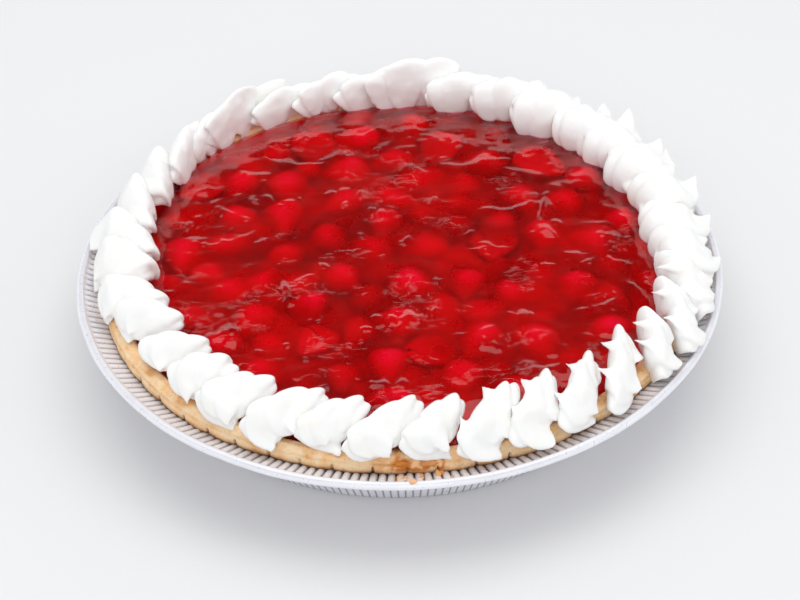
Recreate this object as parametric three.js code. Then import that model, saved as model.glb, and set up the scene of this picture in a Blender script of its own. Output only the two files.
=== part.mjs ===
// A strawberry pie in its own foil tin: a fluted aluminium tin with a rolled rim, a shortcrust shell pressed
// into it, a set strawberry filling whose top swells over the fruit, and a ring of piped cream shells.
// Millimetres, +Z up. The origin is the middle of the tin's underside, and -Y is the side facing the viewer.
import * as THREE from "three";

// ---- Driving dimensions ------------------------------------------------------------------------------
const TIN = {
  rimRadius: 126, // outermost edge of the rolled rim
  curlRadius: 1.6, // half the thickness of the rolled rim
  height: 35,
  footRadius: 95.5, // flat part that stands on the table
  wallTopRadius: 113.2,
  wallTopZ: 28.2,
  thickness: 0.7,
  fluteDepth: 0.35, // half the height of a flute from crest to trough
  fluteFrom: 105.5, // radius where the flutes begin to rise
  fluteRise: 6, // over this width they reach their full height
  fluteUntil: 1.2, // they end this far inside the curl's middle
  fluteFade: 2,
  // Corners of the section, as [radius, height] steps from the wall's top or from the curl's middle.
  wallUnder: [0.5, -0.4],
  curlUnder: [-2.2, -1.2],
  curlOver: [-1.5, 0.3],
  wallOver: [0.1, 0.5],
  wallInside: [-1, -0.6],
  footInside: 0.8, // the floor's corner lies this far inside the foot
};
const CRUST = {
  gap: 0.4, // clearance to the tin
  thickness: 4.4,
  edgeRadius: 115.2,
  edgeBottomZ: 30.2,
  edgeShoulderZ: 34.6,
  topRadius: 112.4,
  topZ: 37.2,
  innerTopRadius: 109.4,
  innerTopZ: 36.4,
  notchDepth: 1.1, // how far each pressed mark cuts into the outer edge
  notchBand: 0.6, // width of the outer band that the marks reach
  innerLean: 0.6, // how far the inside leans in, down to the filling's edge
  footInset: 1.6, // from the tin's foot to the shell's
  edgeInset: 0.4, // how far the edge leans out from its bottom to its shoulder
  // Corners of the underside, as [radius, height] steps from the tin's wall top and from the edge's bottom.
  wallCorner: [-2, -0.4],
  flangeCorner: [-1.2, -0.5],
};
const FILLING = {
  gap: 0.5, // clearance to the crust
  edgeZ: 35.6,
  shoulderRadius: 104,
  shoulderZ: 38.4,
  plateauRadius: 96,
  plateauZ: 40,
  crownZ: 40.8,
  fruitCount: 68,
  fruitRadius: 10.5, // reach of the swell over one berry
  fruitSwell: 1.5, // height of that swell
  fruitMargin: 4, // clear band inside the plateau's edge
  fruitNudge: 4, // unevenness of the berries' places
  topRings: 6,
};
const CREAM = {
  shells: 36,
  ringOffsetX: 2.2, // the piped ring sits a little to the right of the tin's middle
  ringMiddle: 107.4, // radius where a shell stands at its own angle
  lean: 0.4, // sideways drift of the tail for each millimetre that it reaches outwards
  reachUneven: 1.6,
  heightUneven: 1.6,
  ridges: 6,
  ridgeDepth: 0.17, // share of the section's radius
  sectionSpread: 1.25, // the section is flattened by this much where it meets its neighbours
  spineShare: 0.4, // height of the section's middle, as a share of the shell's height
  spineDrop: 0.6, // what is left of that height at the tail
  spineEnds: [0.02, 0.97],
  headSwell: 1.02, // rise of the section over its middle at the head, and at the tail
  tailSwell: 0.8,
  headBias: 0.7, // below 1, the stroke is fullest near its head
  bluntness: 0.5,
  bedGap: 0.45, // clearance to what a shell lies on
  bedRise: 0.2, // extra clearance over the crust's top
  overhangRadius: 121,
  overhangDrop: 0.3, // how far a tail sinks past the crust's edge
  sideGap: 0.35, // clearance between two shells
};
// How the ring was piped, read round the pie from its right-hand side: degrees, then the innermost reach,
// the outermost reach and the height of the shells there.
const PIPING = [
  [0, 98, 117.8, 17.5],
  [35, 96.5, 118, 18.5],
  [85, 101.5, 118, 21.5],
  [125, 103, 118.5, 21.5],
  [165, 102.5, 118, 18.5],
  [195, 99.5, 115.5, 17.5],
  [215, 98.5, 113, 17.5],
  [270, 98, 113.5, 17.5],
  [300, 99.5, 115, 17.5],
  [325, 102, 116.5, 17.5],
  [360, 98, 117.8, 17.5],
];
const FLUTES = 58; // pressed marks round the crust and the tin
const ROUND_STEPS = FLUTES * 2;
const FILLING_STEPS = 56;

// ---- Helpers -----------------------------------------------------------------------------------------
const pointsOf = (pairs) => pairs.map(([r, z]) => new THREE.Vector2(r, z));
const mix = (a, b, t) => a + (b - a) * t;
const clamp = THREE.MathUtils.clamp;

/** A repeatable number from 0 to 1 for a counter. */
function scatter(index, salt) {
  const wave = Math.sin(index * 12.9898 + salt * 78.233) * 43758.5453;
  return wave - Math.floor(wave);
}

/** Height at radius r on a line of [radius, height] pairs that runs outwards. */
function heightOn(line, r) {
  if (r <= line[0][0]) return line[0][1];
  for (let i = 1; i < line.length; i++) {
    const [r0, z0] = line[i - 1];
    const [r1, z1] = line[i];
    if (r <= r1) return mix(z0, z1, (r - r0) / (r1 - r0));
  }
  return line[line.length - 1][1];
}

/** A profile of [radius, height] pairs turned about +Z, then shaped by bend, which moves a point. */
function turned(profile, steps, bend) {
  const geometry = new THREE.LatheGeometry(pointsOf(profile), steps).rotateX(Math.PI / 2);
  return reshaped(geometry, bend);
}

/** Moves every vertex of a geometry to where bend(point) puts it. */
function reshaped(geometry, bend) {
  const position = geometry.getAttribute("position");
  const point = new THREE.Vector3();
  for (let i = 0; i < position.count; i++) {
    point.fromBufferAttribute(position, i);
    bend(point);
    position.setXYZ(i, point.x, point.y, point.z);
  }
  geometry.computeVertexNormals();
  return geometry;
}

/** +1 on a flute's crest and -1 in its trough. */
const fluteWave = (point) => Math.cos(Math.atan2(point.y, point.x) * FLUTES);

/** A named mesh with its own plain material. */
function part(name, geometry, color, roughness, metalness) {
  const material = new THREE.MeshStandardMaterial({ color, roughness, metalness });
  const mesh = new THREE.Mesh(geometry, material);
  mesh.name = name;
  return mesh;
}

// ---- Foil tin ----------------------------------------------------------------------------------------
/** The tin's section: underside, sloping wall, rising flange, rolled rim, and back along the inside. */
function tinProfile() {
  const t = TIN.thickness;
  const curlR = TIN.rimRadius - TIN.curlRadius;
  const curlZ = TIN.height - TIN.curlRadius;
  return [
    [0, 0],
    [TIN.footRadius, 0],
    [TIN.wallTopRadius + TIN.wallUnder[0], TIN.wallTopZ + TIN.wallUnder[1]],
    [curlR + TIN.curlUnder[0], curlZ + TIN.curlUnder[1]],
    [curlR, curlZ - TIN.curlRadius],
    [TIN.rimRadius, curlZ],
    [curlR, TIN.height],
    [curlR + TIN.curlOver[0], curlZ + TIN.curlOver[1]],
    [TIN.wallTopRadius + TIN.wallOver[0], TIN.wallTopZ + TIN.wallOver[1]],
    [TIN.wallTopRadius + TIN.wallInside[0], TIN.wallTopZ + TIN.wallInside[1]],
    [TIN.footRadius - TIN.footInside, t],
    [0, t],
  ];
}

/** Flutes lift and lower the flange, fading out at the rolled rim and at the wall. */
function flutedFlange(point) {
  const r = Math.hypot(point.x, point.y);
  const curlR = TIN.rimRadius - TIN.curlRadius;
  const inwards = clamp((curlR - TIN.fluteUntil - r) / TIN.fluteFade, 0, 1);
  const outwards = clamp((r - TIN.fluteFrom) / TIN.fluteRise, 0, 1);
  point.z += TIN.fluteDepth * fluteWave(point) * inwards * outwards;
}

function foilTin() {
  return part("foil_tin", turned(tinProfile(), ROUND_STEPS, flutedFlange), 0xd9dbdd, 0.28, 1);
}

// ---- Pastry ------------------------------------------------------------------------------------------
/** The shell's section: its underside follows the tin, and its edge stands on the flange. */
function crustProfile() {
  const bottom = TIN.thickness + CRUST.gap;
  return [
    [0, bottom],
    [TIN.footRadius - CRUST.footInset, bottom],
    [TIN.wallTopRadius + CRUST.wallCorner[0], TIN.wallTopZ + CRUST.wallCorner[1]],
    [TIN.wallTopRadius + CRUST.flangeCorner[0], CRUST.edgeBottomZ + CRUST.flangeCorner[1]],
    [CRUST.edgeRadius - CRUST.edgeInset, CRUST.edgeBottomZ],
    [CRUST.edgeRadius, CRUST.edgeShoulderZ],
    [CRUST.topRadius, CRUST.topZ],
    [CRUST.innerTopRadius, CRUST.innerTopZ],
    [TIN.footRadius - CRUST.footInset - CRUST.thickness, bottom + CRUST.thickness],
    [0, bottom + CRUST.thickness],
  ];
}

/** Each pressed mark draws the outer edge in, most at the bottom of the edge. */
function pressedEdge(point) {
  const r = Math.hypot(point.x, point.y);
  if (r < CRUST.edgeRadius - CRUST.notchBand) return;
  const depth = CRUST.notchDepth * (0.5 - 0.5 * fluteWave(point));
  const scale = (r - depth) / r;
  point.x *= scale;
  point.y *= scale;
}

function pastryCrust() {
  return part("crust", turned(crustProfile(), ROUND_STEPS, pressedEdge), 0xd9ad74, 0.85, 0);
}

// ---- Filling -----------------------------------------------------------------------------------------
/** The line of the filling's top from its level middle out to the crust. */
const FILLING_EDGE = [
  [FILLING.plateauRadius, FILLING.plateauZ],
  [FILLING.shoulderRadius, FILLING.shoulderZ],
  [CRUST.innerTopRadius - CRUST.innerLean - FILLING.gap, FILLING.edgeZ],
];

/** Middles of the berries under the surface, spread evenly by the golden angle and then nudged. */
function fruitMiddles() {
  const goldenAngle = Math.PI * (3 - Math.sqrt(5));
  return Array.from({ length: FILLING.fruitCount }, (_, i) => {
    const r = (FILLING.plateauRadius - FILLING.fruitMargin) * Math.sqrt((i + 0.5) / FILLING.fruitCount);
    const angle = i * goldenAngle;
    const nudge = FILLING.fruitNudge * (scatter(i, 1) - 0.5);
    return [r * Math.cos(angle) + nudge, r * Math.sin(angle) - nudge];
  });
}

/** How much the berries near a point lift the surface there. */
function swellAt(x, y, middles) {
  let most = 0;
  for (const [fx, fy] of middles) {
    const away = Math.hypot(x - fx, y - fy) / FILLING.fruitRadius;
    if (away < 1) most = Math.max(most, 1 - away * away);
  }
  return FILLING.fruitSwell * (most - 0.5);
}

function strawberryFilling() {
  const innerBottom = TIN.thickness + CRUST.gap + CRUST.thickness + FILLING.gap;
  const footRadius = TIN.footRadius - CRUST.footInset - CRUST.thickness - FILLING.gap;
  const top = [];
  for (let k = FILLING.topRings; k >= 1; k--) {
    const share = k / FILLING.topRings;
    top.push([FILLING.plateauRadius * share, mix(FILLING.crownZ, FILLING.plateauZ, share * share)]);
  }
  const profile = [
    [0, innerBottom],
    [footRadius, innerBottom],
    ...[...FILLING_EDGE].reverse().slice(0, 2),
    ...top,
    [0, FILLING.crownZ],
  ];
  const middles = fruitMiddles();
  const swollenTop = (point) => {
    const r = Math.hypot(point.x, point.y);
    if (r > FILLING.plateauRadius - 1 || point.z < FILLING.edgeZ) return;
    point.z += swellAt(point.x, point.y, middles);
  };
  return part("strawberry_filling", turned(profile, FILLING_STEPS, swollenTop), 0xb40a14, 0.12, 0);
}

// ---- Whipped cream -----------------------------------------------------------------------------------
/** A line over what the shells lie on: the filling near its edge, the crust's top, then free air. */
const BED = [
  [FILLING.plateauRadius, FILLING.plateauZ],
  [CRUST.topRadius, CRUST.topZ + CREAM.bedRise],
  [CREAM.overhangRadius, CRUST.topZ - CREAM.overhangDrop],
];

/** Half-width of a shell's section along its stroke, from its round head (0) to its drawn-out tail (1). */
const fullness = (s) => Math.pow(Math.sin(Math.PI * Math.pow(s, CREAM.headBias)), CREAM.bluntness);

/** The inner reach, outer reach and height of a shell that stands at an angle in degrees. */
function pipingAt(degrees) {
  const after = PIPING.findIndex((side) => side[0] >= degrees);
  const low = PIPING[Math.max(0, after - 1)];
  const high = PIPING[after];
  const share = (degrees - low[0]) / (high[0] - low[0]);
  return [1, 2, 3].map((column) => mix(low[column], high[column], share));
}

/**
 * One piped shell. A sphere is pulled out along the stroke, from the head inside the ring to the tail on the
 * crust: its poles are the stroke's two ends, and round it run the star nozzle's ridges.
 */
function creamShell(index) {
  const step = (2 * Math.PI) / CREAM.shells;
  const middle = step * (index + 0.5);
  const [reachIn, reachOut, tallness] = pipingAt(THREE.MathUtils.radToDeg(middle));
  const headRadius = reachIn + CREAM.reachUneven * (scatter(index, 2) - 0.5);
  const tailRadius = reachOut + CREAM.reachUneven * (scatter(index, 3) - 0.5);
  const height = tallness + CREAM.heightUneven * (scatter(index, 4) - 0.5);

  const sphere = new THREE.SphereGeometry(1, CREAM.ridges * 2, 6);
  return reshaped(sphere, (point) => {
    const s = clamp((1 - point.y) / 2, 0, 1);
    const around = Math.atan2(point.z, point.x);
    const ridge = 1 - CREAM.ridgeDepth * (0.5 - 0.5 * Math.cos(around * CREAM.ridges));
    const full = s <= 0 || s >= 1 ? 0 : fullness(s) * ridge;
    const radius = mix(headRadius, tailRadius, s);
    const halfWidth = (step * radius) / 2 - CREAM.sideGap / 2;
    const sideways = clamp(CREAM.sectionSpread * halfWidth * full * Math.cos(around), -halfWidth, halfWidth);
    const drift = CREAM.lean * (radius - CREAM.ringMiddle);
    const angle = middle + (sideways + drift) / radius;
    const x = radius * Math.cos(angle) + CREAM.ringOffsetX;
    const y = radius * Math.sin(angle);
    const bed = heightOn(BED, Math.hypot(x, y)) + CREAM.bedGap;
    const spine = CREAM.spineShare * fullness(clamp(s, ...CREAM.spineEnds)) * mix(1, CREAM.spineDrop, s);
    const rise = (1 - CREAM.spineShare) * full * Math.sin(around) * mix(CREAM.headSwell, CREAM.tailSwell, s);
    point.set(x, y, Math.max(bed, bed + height * (spine + rise)));
  });
}

function creamRing() {
  return Array.from({ length: CREAM.shells }, (_, i) => {
    const name = `cream_shell_${String(i + 1).padStart(2, "0")}`;
    return part(name, creamShell(i), 0xfbfaf6, 0.55, 0);
  });
}

// ---- The pie -----------------------------------------------------------------------------------------
const pie = new THREE.Group();
pie.add(foilTin(), pastryCrust(), strawberryFilling(), ...creamRing());

export default pie;
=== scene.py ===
"""The looks of a strawberry pie in its foil tin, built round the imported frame.

A fluted foil tin, a pressed shortcrust shell, clear red gel over strawberries, and a ring of piped cream.
Shapes are worked out in millimetres and scaled to metres when a piece is finished.
"""

import logging
import math
import random
from dataclasses import astuple, dataclass, field
from enum import Enum
from typing import Callable, Iterable

import bmesh
import bpy
from mathutils import Matrix, Vector, noise


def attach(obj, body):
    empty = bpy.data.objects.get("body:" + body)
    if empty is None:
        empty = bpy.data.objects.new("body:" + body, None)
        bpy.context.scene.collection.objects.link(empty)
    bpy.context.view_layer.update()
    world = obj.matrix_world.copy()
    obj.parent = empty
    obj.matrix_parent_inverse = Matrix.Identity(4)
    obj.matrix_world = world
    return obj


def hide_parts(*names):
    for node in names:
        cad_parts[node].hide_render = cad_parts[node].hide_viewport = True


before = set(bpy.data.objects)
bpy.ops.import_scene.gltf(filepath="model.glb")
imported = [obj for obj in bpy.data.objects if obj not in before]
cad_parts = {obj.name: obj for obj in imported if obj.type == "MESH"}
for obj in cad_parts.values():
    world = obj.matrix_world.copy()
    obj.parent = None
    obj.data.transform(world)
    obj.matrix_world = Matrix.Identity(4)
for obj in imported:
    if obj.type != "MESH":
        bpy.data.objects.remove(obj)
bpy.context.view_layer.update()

log = logging.getLogger("strawberry_pie")

MM = 0.001
TURN = 2.0 * math.pi
BODY = "root"
SHAPE_SEED = 7
WELD = 2e-3
BAKE_AND_SHADE = "bake_and_shade"

Point2 = tuple[float, float]
Colour = tuple[float, float, float]
Bend = Callable[[Vector], Vector]


# ---- Small helpers ----


def smooth_step(low: float, high: float, value: float) -> float:
    """Returns 0 below low, 1 above high and an eased share between them; low may be above high."""
    share = min(1.0, max(0.0, (value - low) / (high - low)))
    return share * share * (3.0 - 2.0 * share)


def mix(a: float, b: float, share: float) -> float:
    """Returns the number that lies share of the way from a to b."""
    return a + (b - a) * share


def angle_gap(a: float, b: float) -> float:
    """Returns the signed smallest angle from b to a, in degrees."""
    return (a - b + 180.0) % 360.0 - 180.0


def own_axes(x: float, y: float, heading_deg: float) -> Point2:
    """Turns an offset into the axes of something that has a heading.

    Args:
        x: The offset to the right.
        y: The offset to the back.
        heading_deg: The heading.

    Returns:
        The offset along the heading, and across it.
    """
    turn = math.radians(heading_deg)
    return x * math.cos(turn) + y * math.sin(turn), -x * math.sin(turn) + y * math.cos(turn)


def line(start: Point2, end: Point2, steps: int) -> list[Point2]:
    """Returns equally spaced points from start towards end, which is left out, as radius and height."""
    return [(mix(start[0], end[0], i / steps), mix(start[1], end[1], i / steps)) for i in range(steps)]


def arc(middle: Point2, radius: float, start_deg: float, end_deg: float, steps: int) -> list[Point2]:
    """Returns points on an arc, both ends included.

    Args:
        middle: Centre of the arc, as radius and height.
        radius: Radius of the arc.
        start_deg: Angle of the first point.
        end_deg: Angle of the last point.
        steps: Number of equal steps.

    Returns:
        The points in order.
    """
    points = []
    for i in range(steps + 1):
        angle = math.radians(mix(start_deg, end_deg, i / steps))
        points.append((middle[0] + radius * math.cos(angle), middle[1] + radius * math.sin(angle)))
    return points


def height_on(outline: Iterable[Point2], radius: float) -> float:
    """Finds the height of an outline that runs outwards.

    Args:
        outline: Its points, as radius and height.
        radius: Where to read it.

    Returns:
        The height there, or that of the nearest end.
    """
    previous = None
    for point in outline:
        if radius <= point[0]:
            if previous is None:
                return point[1]
            return mix(previous[1], point[1], (radius - previous[0]) / (point[0] - previous[0]))
        previous = point
    return previous[1]


def rough(x: float, y: float, z: float, size: float, octaves: int = 3) -> float:
    """Returns fractal noise from about -1 to 1 whose largest lumps are size millimetres wide."""
    return noise.fractal(Vector((x, y, z)) / size, 1.0, 2.0, octaves)


def turned(outline: list[Point2], sectors: int, steps_per_sector: int) -> bmesh.types.BMesh:
    """Turns an outline once round the vertical axis into a closed shell.

    One sector is spun first and then repeated, which is many times faster than one long spin.

    Args:
        outline: Points as radius and height; the first and last lie on the axis.
        sectors: Number of equal sectors.
        steps_per_sector: Number of steps in each of them.

    Returns:
        A mesh in millimetres with welded seams and poles and outward faces.
    """
    bm = bmesh.new()
    verts = [bm.verts.new((radius, 0.0, height)) for radius, height in outline]
    edges = [bm.edges.new(pair) for pair in zip(verts, verts[1:])]
    about = {"cent": (0, 0, 0), "axis": (0, 0, 1), "dvec": (0, 0, 0)}
    sector = TURN / sectors
    bmesh.ops.spin(bm, geom=verts + edges, angle=sector, steps=steps_per_sector, use_merge=False, **about)
    wedge = list(bm.verts) + list(bm.edges) + list(bm.faces)
    bmesh.ops.spin(
        bm, geom=wedge, angle=TURN - sector, steps=sectors - 1, use_merge=False, use_duplicate=True, **about
    )
    bmesh.ops.remove_doubles(bm, verts=bm.verts, dist=WELD)
    bmesh.ops.recalc_face_normals(bm, faces=bm.faces)
    return bm


def bend_all(bm: bmesh.types.BMesh, bend: Bend) -> None:
    """Moves every vertex of a mesh to where bend puts it."""
    for vert in bm.verts:
        vert.co = bend(vert.co)


def join(whole: bmesh.types.BMesh, part: bmesh.types.BMesh) -> None:
    """Adds a mesh to another one.

    Args:
        whole: The mesh that grows.
        part: The mesh that is added, and freed.
    """
    mesh = bpy.data.meshes.new("part")
    part.to_mesh(mesh)
    part.free()
    whole.from_mesh(mesh)
    bpy.data.meshes.remove(mesh)


def placed(name: str, data: bpy.types.ID) -> bpy.types.Object:
    """Returns a new object with this data, linked to the scene at the origin."""
    made = bpy.data.objects.new(name, data)
    bpy.context.collection.objects.link(made)
    return made


def finished_piece(
    bm: bmesh.types.BMesh,
    name: str,
    materials: list[bpy.types.Material],
    replaces: Iterable[str] = (),
) -> bpy.types.Object:
    """Turns a mesh in millimetres into a finished piece of the pie.

    Args:
        bm: The shape, which is freed.
        name: Name of the new object.
        materials: Materials in the order that the faces use.
        replaces: The CAD nodes that it stands for.

    Returns:
        The object, at the origin, in metres.
    """
    bmesh.ops.scale(bm, vec=(MM, MM, MM), verts=bm.verts)
    for face in bm.faces:
        face.smooth = True
    mesh = bpy.data.meshes.new(name)
    bm.to_mesh(mesh)
    bm.free()
    for material in materials:
        mesh.materials.append(material)
    piece = placed(name, mesh)
    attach(piece, BODY)
    if replaces:
        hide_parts(*replaces)
    log.info("%s: %d faces", name, len(mesh.polygons))
    return piece


# ---- Shader building ----


class Wiring:
    """Adds and joins shader nodes in one node tree."""

    def __init__(self, tree: bpy.types.NodeTree) -> None:
        """Starts on a tree, which is emptied."""
        self.tree = tree
        tree.nodes.clear()

    def add(self, kind: str, **inputs: object) -> bpy.types.Node:
        """Adds a node.

        Args:
            kind: The node's type name.
            **inputs: Values or sockets for its inputs; an underscore in a key stands for a space.

        Returns:
            The node.
        """
        node = self.tree.nodes.new(kind)
        for key, value in inputs.items():
            self.feed(node.inputs[key.replace("_", " ")], value)
        return node

    def feed(self, socket: bpy.types.NodeSocket, value: object) -> None:
        """Sets an input to a plain value, or joins it to an output.

        Args:
            socket: The input.
            value: A number, three numbers, or the output that the input is joined to.
        """
        if isinstance(value, bpy.types.NodeSocket):
            self.tree.links.new(value, socket)
        elif socket.type == "RGBA":
            socket.default_value = (*value, 1.0)
        else:
            socket.default_value = value

    def place(self) -> bpy.types.NodeSocket:
        """Returns the Object coordinates of the surface."""
        return self.add("ShaderNodeTexCoord").outputs["Object"]

    def maths(self, how: str, *values: object) -> bpy.types.NodeSocket:
        """Works out a sum.

        Args:
            how: The Math node's operation.
            *values: One or two values or sockets.

        Returns:
            The result.
        """
        node = self.tree.nodes.new("ShaderNodeMath")
        node.operation = how
        for socket, value in zip(node.inputs, values):
            self.feed(socket, value)
        return node.outputs[0]

    def blend(self, share: object, first: object, second: object) -> bpy.types.NodeSocket:
        """Mixes two colours.

        Args:
            share: How far the result is from first to second.
            first: A colour or a socket.
            second: A colour or a socket.

        Returns:
            The mixed colour.
        """
        node = self.tree.nodes.new("ShaderNodeMix")
        node.data_type = "RGBA"
        self.feed(node.inputs[0], share)
        colour_inputs = [socket for socket in node.inputs if socket.type == "RGBA"]
        for socket, value in zip(colour_inputs, (first, second)):
            self.feed(socket, value)
        return next(socket for socket in node.outputs if socket.type == "RGBA")

    def between(
        self, value: object, low: float, high: float, to_low: float = 0.0, to_high: float = 1.0
    ) -> bpy.types.NodeSocket:
        """Carries a value from one range to another, and holds it within it.

        Args:
            value: The value.
            low: One end of the first range.
            high: Its other end.
            to_low: What low becomes.
            to_high: What high becomes.

        Returns:
            The new value.
        """
        node = self.add("ShaderNodeMapRange", Value=value)
        for socket, number in zip(node.inputs[1:5], (low, high, to_low, to_high)):
            socket.default_value = number
        return node.outputs[0]

    def bump(self, height: object, strength: float, distance: float) -> bpy.types.NodeSocket:
        """Returns normals that are tilted by a height."""
        return self.add("ShaderNodeBump", Height=height, Strength=strength, Distance=distance).outputs[0]

    def grain(self, fine: float, coarse: float) -> bpy.types.bpy_prop_collection:
        """Returns the outputs of the shared grain, set to these counts per metre."""
        node = self.add("ShaderNodeGroup")
        node.node_tree = grain_group()
        self.feed(node.inputs["Fine"], fine)
        self.feed(node.inputs["Coarse"], coarse)
        return node.outputs

    def surface(self, **inputs: object) -> None:
        """Gives the material a Principled surface with these inputs."""
        shader = self.add("ShaderNodeBsdfPrincipled", **inputs)
        self.add("ShaderNodeOutputMaterial", Surface=shader.outputs[0])


def grain_group() -> bpy.types.NodeTree:
    """Builds the shared grain: a fine and a coarse mottle, and their sum as a height.

    Returns:
        The node group, with the inputs Fine and Coarse as feature counts per metre.
    """
    name = "surface_grain"
    if name in bpy.data.node_groups:
        return bpy.data.node_groups[name]
    group = bpy.data.node_groups.new(name, "ShaderNodeTree")
    for label, start in (("Fine", 900.0), ("Coarse", 120.0)):
        group.interface.new_socket(label, in_out="INPUT", socket_type="NodeSocketFloat").default_value = start
    for label in ("Fine Mask", "Coarse Mask", "Height"):
        group.interface.new_socket(label, in_out="OUTPUT", socket_type="NodeSocketFloat")
    wiring = Wiring(group)
    entry = wiring.add("NodeGroupInput").outputs
    place = wiring.place()
    fine = wiring.add("ShaderNodeTexNoise", Vector=place, Scale=entry["Fine"], Detail=3.0).outputs[0]
    coarse = wiring.add("ShaderNodeTexNoise", Vector=place, Scale=entry["Coarse"], Detail=4.0).outputs[0]
    height = wiring.maths("ADD", fine, wiring.maths("MULTIPLY", coarse, 2.0))
    wiring.add("NodeGroupOutput", Fine_Mask=fine, Coarse_Mask=coarse, Height=height)
    return group


class Finish:
    """A surface finish that builds its material once."""

    label = "finish"

    def material(self) -> bpy.types.Material:
        """Builds the finish's material the first time that it is asked for.

        Returns:
            The material.
        """
        if self.label in bpy.data.materials:
            return bpy.data.materials[self.label]
        material = bpy.data.materials.new(self.label)
        material.use_nodes = True
        self.wire(Wiring(material.node_tree))
        return material

    def wire(self, wiring: Wiring) -> None:
        """Fills the material's node tree."""
        raise NotImplementedError


@dataclass(frozen=True)
class FoilFinish(Finish):
    """Bright thin aluminium foil with pressed flutes and faint wrinkles, and shade painted into the gaps
    between the flutes. Metres.
    """

    label: str = "bright_foil"
    tone: Colour = (0.93, 0.93, 0.98)
    dull_tone: Colour = (0.82, 0.82, 0.88)
    # Painted shade for the gaps between the flutes, where it ends and how strong it is.
    painted_shade_groove: Colour = (0.17, 0.15, 0.19)
    groove_shade_edges: Point2 = (0.32, 0.45)
    groove_shade_share: float = 0.85
    flutes: float = 232.0
    flange_end: Point2 = (0.1216, 0.1222)

    def wire(self, wiring: Wiring) -> None:
        """Fills the node tree: metal whose tone, gloss and relief change with its wrinkles, and whose flute
        gaps get painted shade.
        """
        grain = wiring.grain(fine=700.0, coarse=160.0)
        tone = wiring.blend(grain["Coarse Mask"], self.tone, self.dull_tone)
        # Painted shade in the gaps between the flutes.
        tone = wiring.blend(self.painted_groove_shade_mask(wiring), tone, self.painted_shade_groove)
        gloss = wiring.between(grain["Fine Mask"], 0.3, 0.7, 0.26, 0.38)
        bump = wiring.bump(grain["Height"], 0.14, 0.0003)
        wiring.surface(Base_Color=tone, Roughness=gloss, Metallic=0.2, Normal=bump)

    def painted_groove_shade_mask(self, wiring: Wiring) -> bpy.types.NodeSocket:
        """Paints shade into the gaps between the flutes of the flange.

        Args:
            wiring: The material's wiring.

        Returns:
            A mask of the painted shade in the gaps.
        """
        flat = wiring.add("ShaderNodeMapping", Vector=wiring.place(), Scale=(1.0, 1.0, 0.0)).outputs[0]
        around = wiring.add("ShaderNodeTexGradient", Vector=flat)
        around.gradient_type = "RADIAL"
        share = wiring.maths("FRACT", wiring.maths("MULTIPLY", around.outputs["Fac"], self.flutes))
        from_ridge = wiring.maths("ABSOLUTE", wiring.maths("SUBTRACT", share, 0.5))
        radius = wiring.add("ShaderNodeVectorMath", Vector=flat)
        radius.operation = "LENGTH"
        inside = wiring.between(radius.outputs["Value"], *self.flange_end, self.groove_shade_share, 0.0)
        return wiring.maths("MULTIPLY", wiring.between(from_ridge, *self.groove_shade_edges), inside)


@dataclass(frozen=True)
class PastryFinish(Finish):
    """Baked shortcrust: sandy where it is pale, browner on its ridges, and dark with painted shade in its
    marks, its furrow and along its foot.
    """

    label: str = "baked_shortcrust"
    pale: Colour = (0.94, 0.71, 0.45)
    golden: Colour = (0.90, 0.53, 0.25)
    toasted: Colour = (0.46, 0.20, 0.07)
    syrup: Colour = (0.60, 0.19, 0.02)
    # Painted shade for the marks and the foot of the rim.
    painted_shade: Colour = (0.10, 0.035, 0.012)

    def wire(self, wiring: Wiring) -> None:
        """Fills the node tree: a vertex attribute holds how brown it is with painted furrow shade, its syrup,
        and painted shade of marks and foot in its three channels.
        """
        grain = wiring.grain(fine=1500.0, coarse=170.0)
        bake_and_shade = wiring.add("ShaderNodeAttribute")
        bake_and_shade.attribute_name = BAKE_AND_SHADE
        parts = wiring.add("ShaderNodeSeparateColor", Color=bake_and_shade.outputs["Color"])
        # Painted shade rides in the first channel, in the furrow, and is the whole third channel.
        browned_and_shaded, syrup, depth = parts.outputs[:3]
        mottle = wiring.between(grain["Coarse Mask"], 0.35, 0.65, -0.30, 0.36)
        browning_and_shade = wiring.maths("ADD", browned_and_shaded, mottle)
        tone = wiring.blend(wiring.between(browning_and_shade, 0.0, 0.55), self.pale, self.golden)
        tone = wiring.blend(wiring.between(browning_and_shade, 0.5, 1.1), tone, self.toasted)
        tone = wiring.blend(wiring.between(grain["Fine Mask"], 0.60, 0.72, 0.0, 0.45), tone, self.toasted)
        tone = wiring.blend(syrup, tone, self.syrup)
        # Painted shade: the marks and the foot of the rim are darkened.
        tone = wiring.blend(depth, tone, self.painted_shade)
        gloss = wiring.between(syrup, 0.0, 1.0, 0.82, 0.3)
        bump = wiring.bump(grain["Height"], 0.6, 0.0005)
        wiring.surface(Base_Color=tone, Roughness=gloss, Specular_IOR_Level=0.3, Normal=bump)


@dataclass(frozen=True)
class CreamFinish(Finish):
    """Whipped cream: soft white, faintly warmer in places."""

    label: str = "whipped_cream"
    tone: Colour = (0.93, 0.93, 0.915)
    warm_tone: Colour = (0.92, 0.895, 0.83)

    def wire(self, wiring: Wiring) -> None:
        """Fills the node tree: a scattering white with fine bubbles."""
        grain = wiring.grain(fine=1300.0, coarse=90.0)
        warmth = wiring.between(grain["Coarse Mask"], 0.55, 0.75, 0.0, 0.6)
        wiring.surface(
            Base_Color=wiring.blend(warmth, self.tone, self.warm_tone),
            Roughness=0.5,
            Specular_IOR_Level=0.35,
            Normal=wiring.bump(grain["Fine Mask"], 0.12, 0.0002),
            Subsurface_Weight=0.35,
            Subsurface_Scale=0.002,
            Subsurface_Radius=(1.0, 0.9, 0.8),
        )


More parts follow.
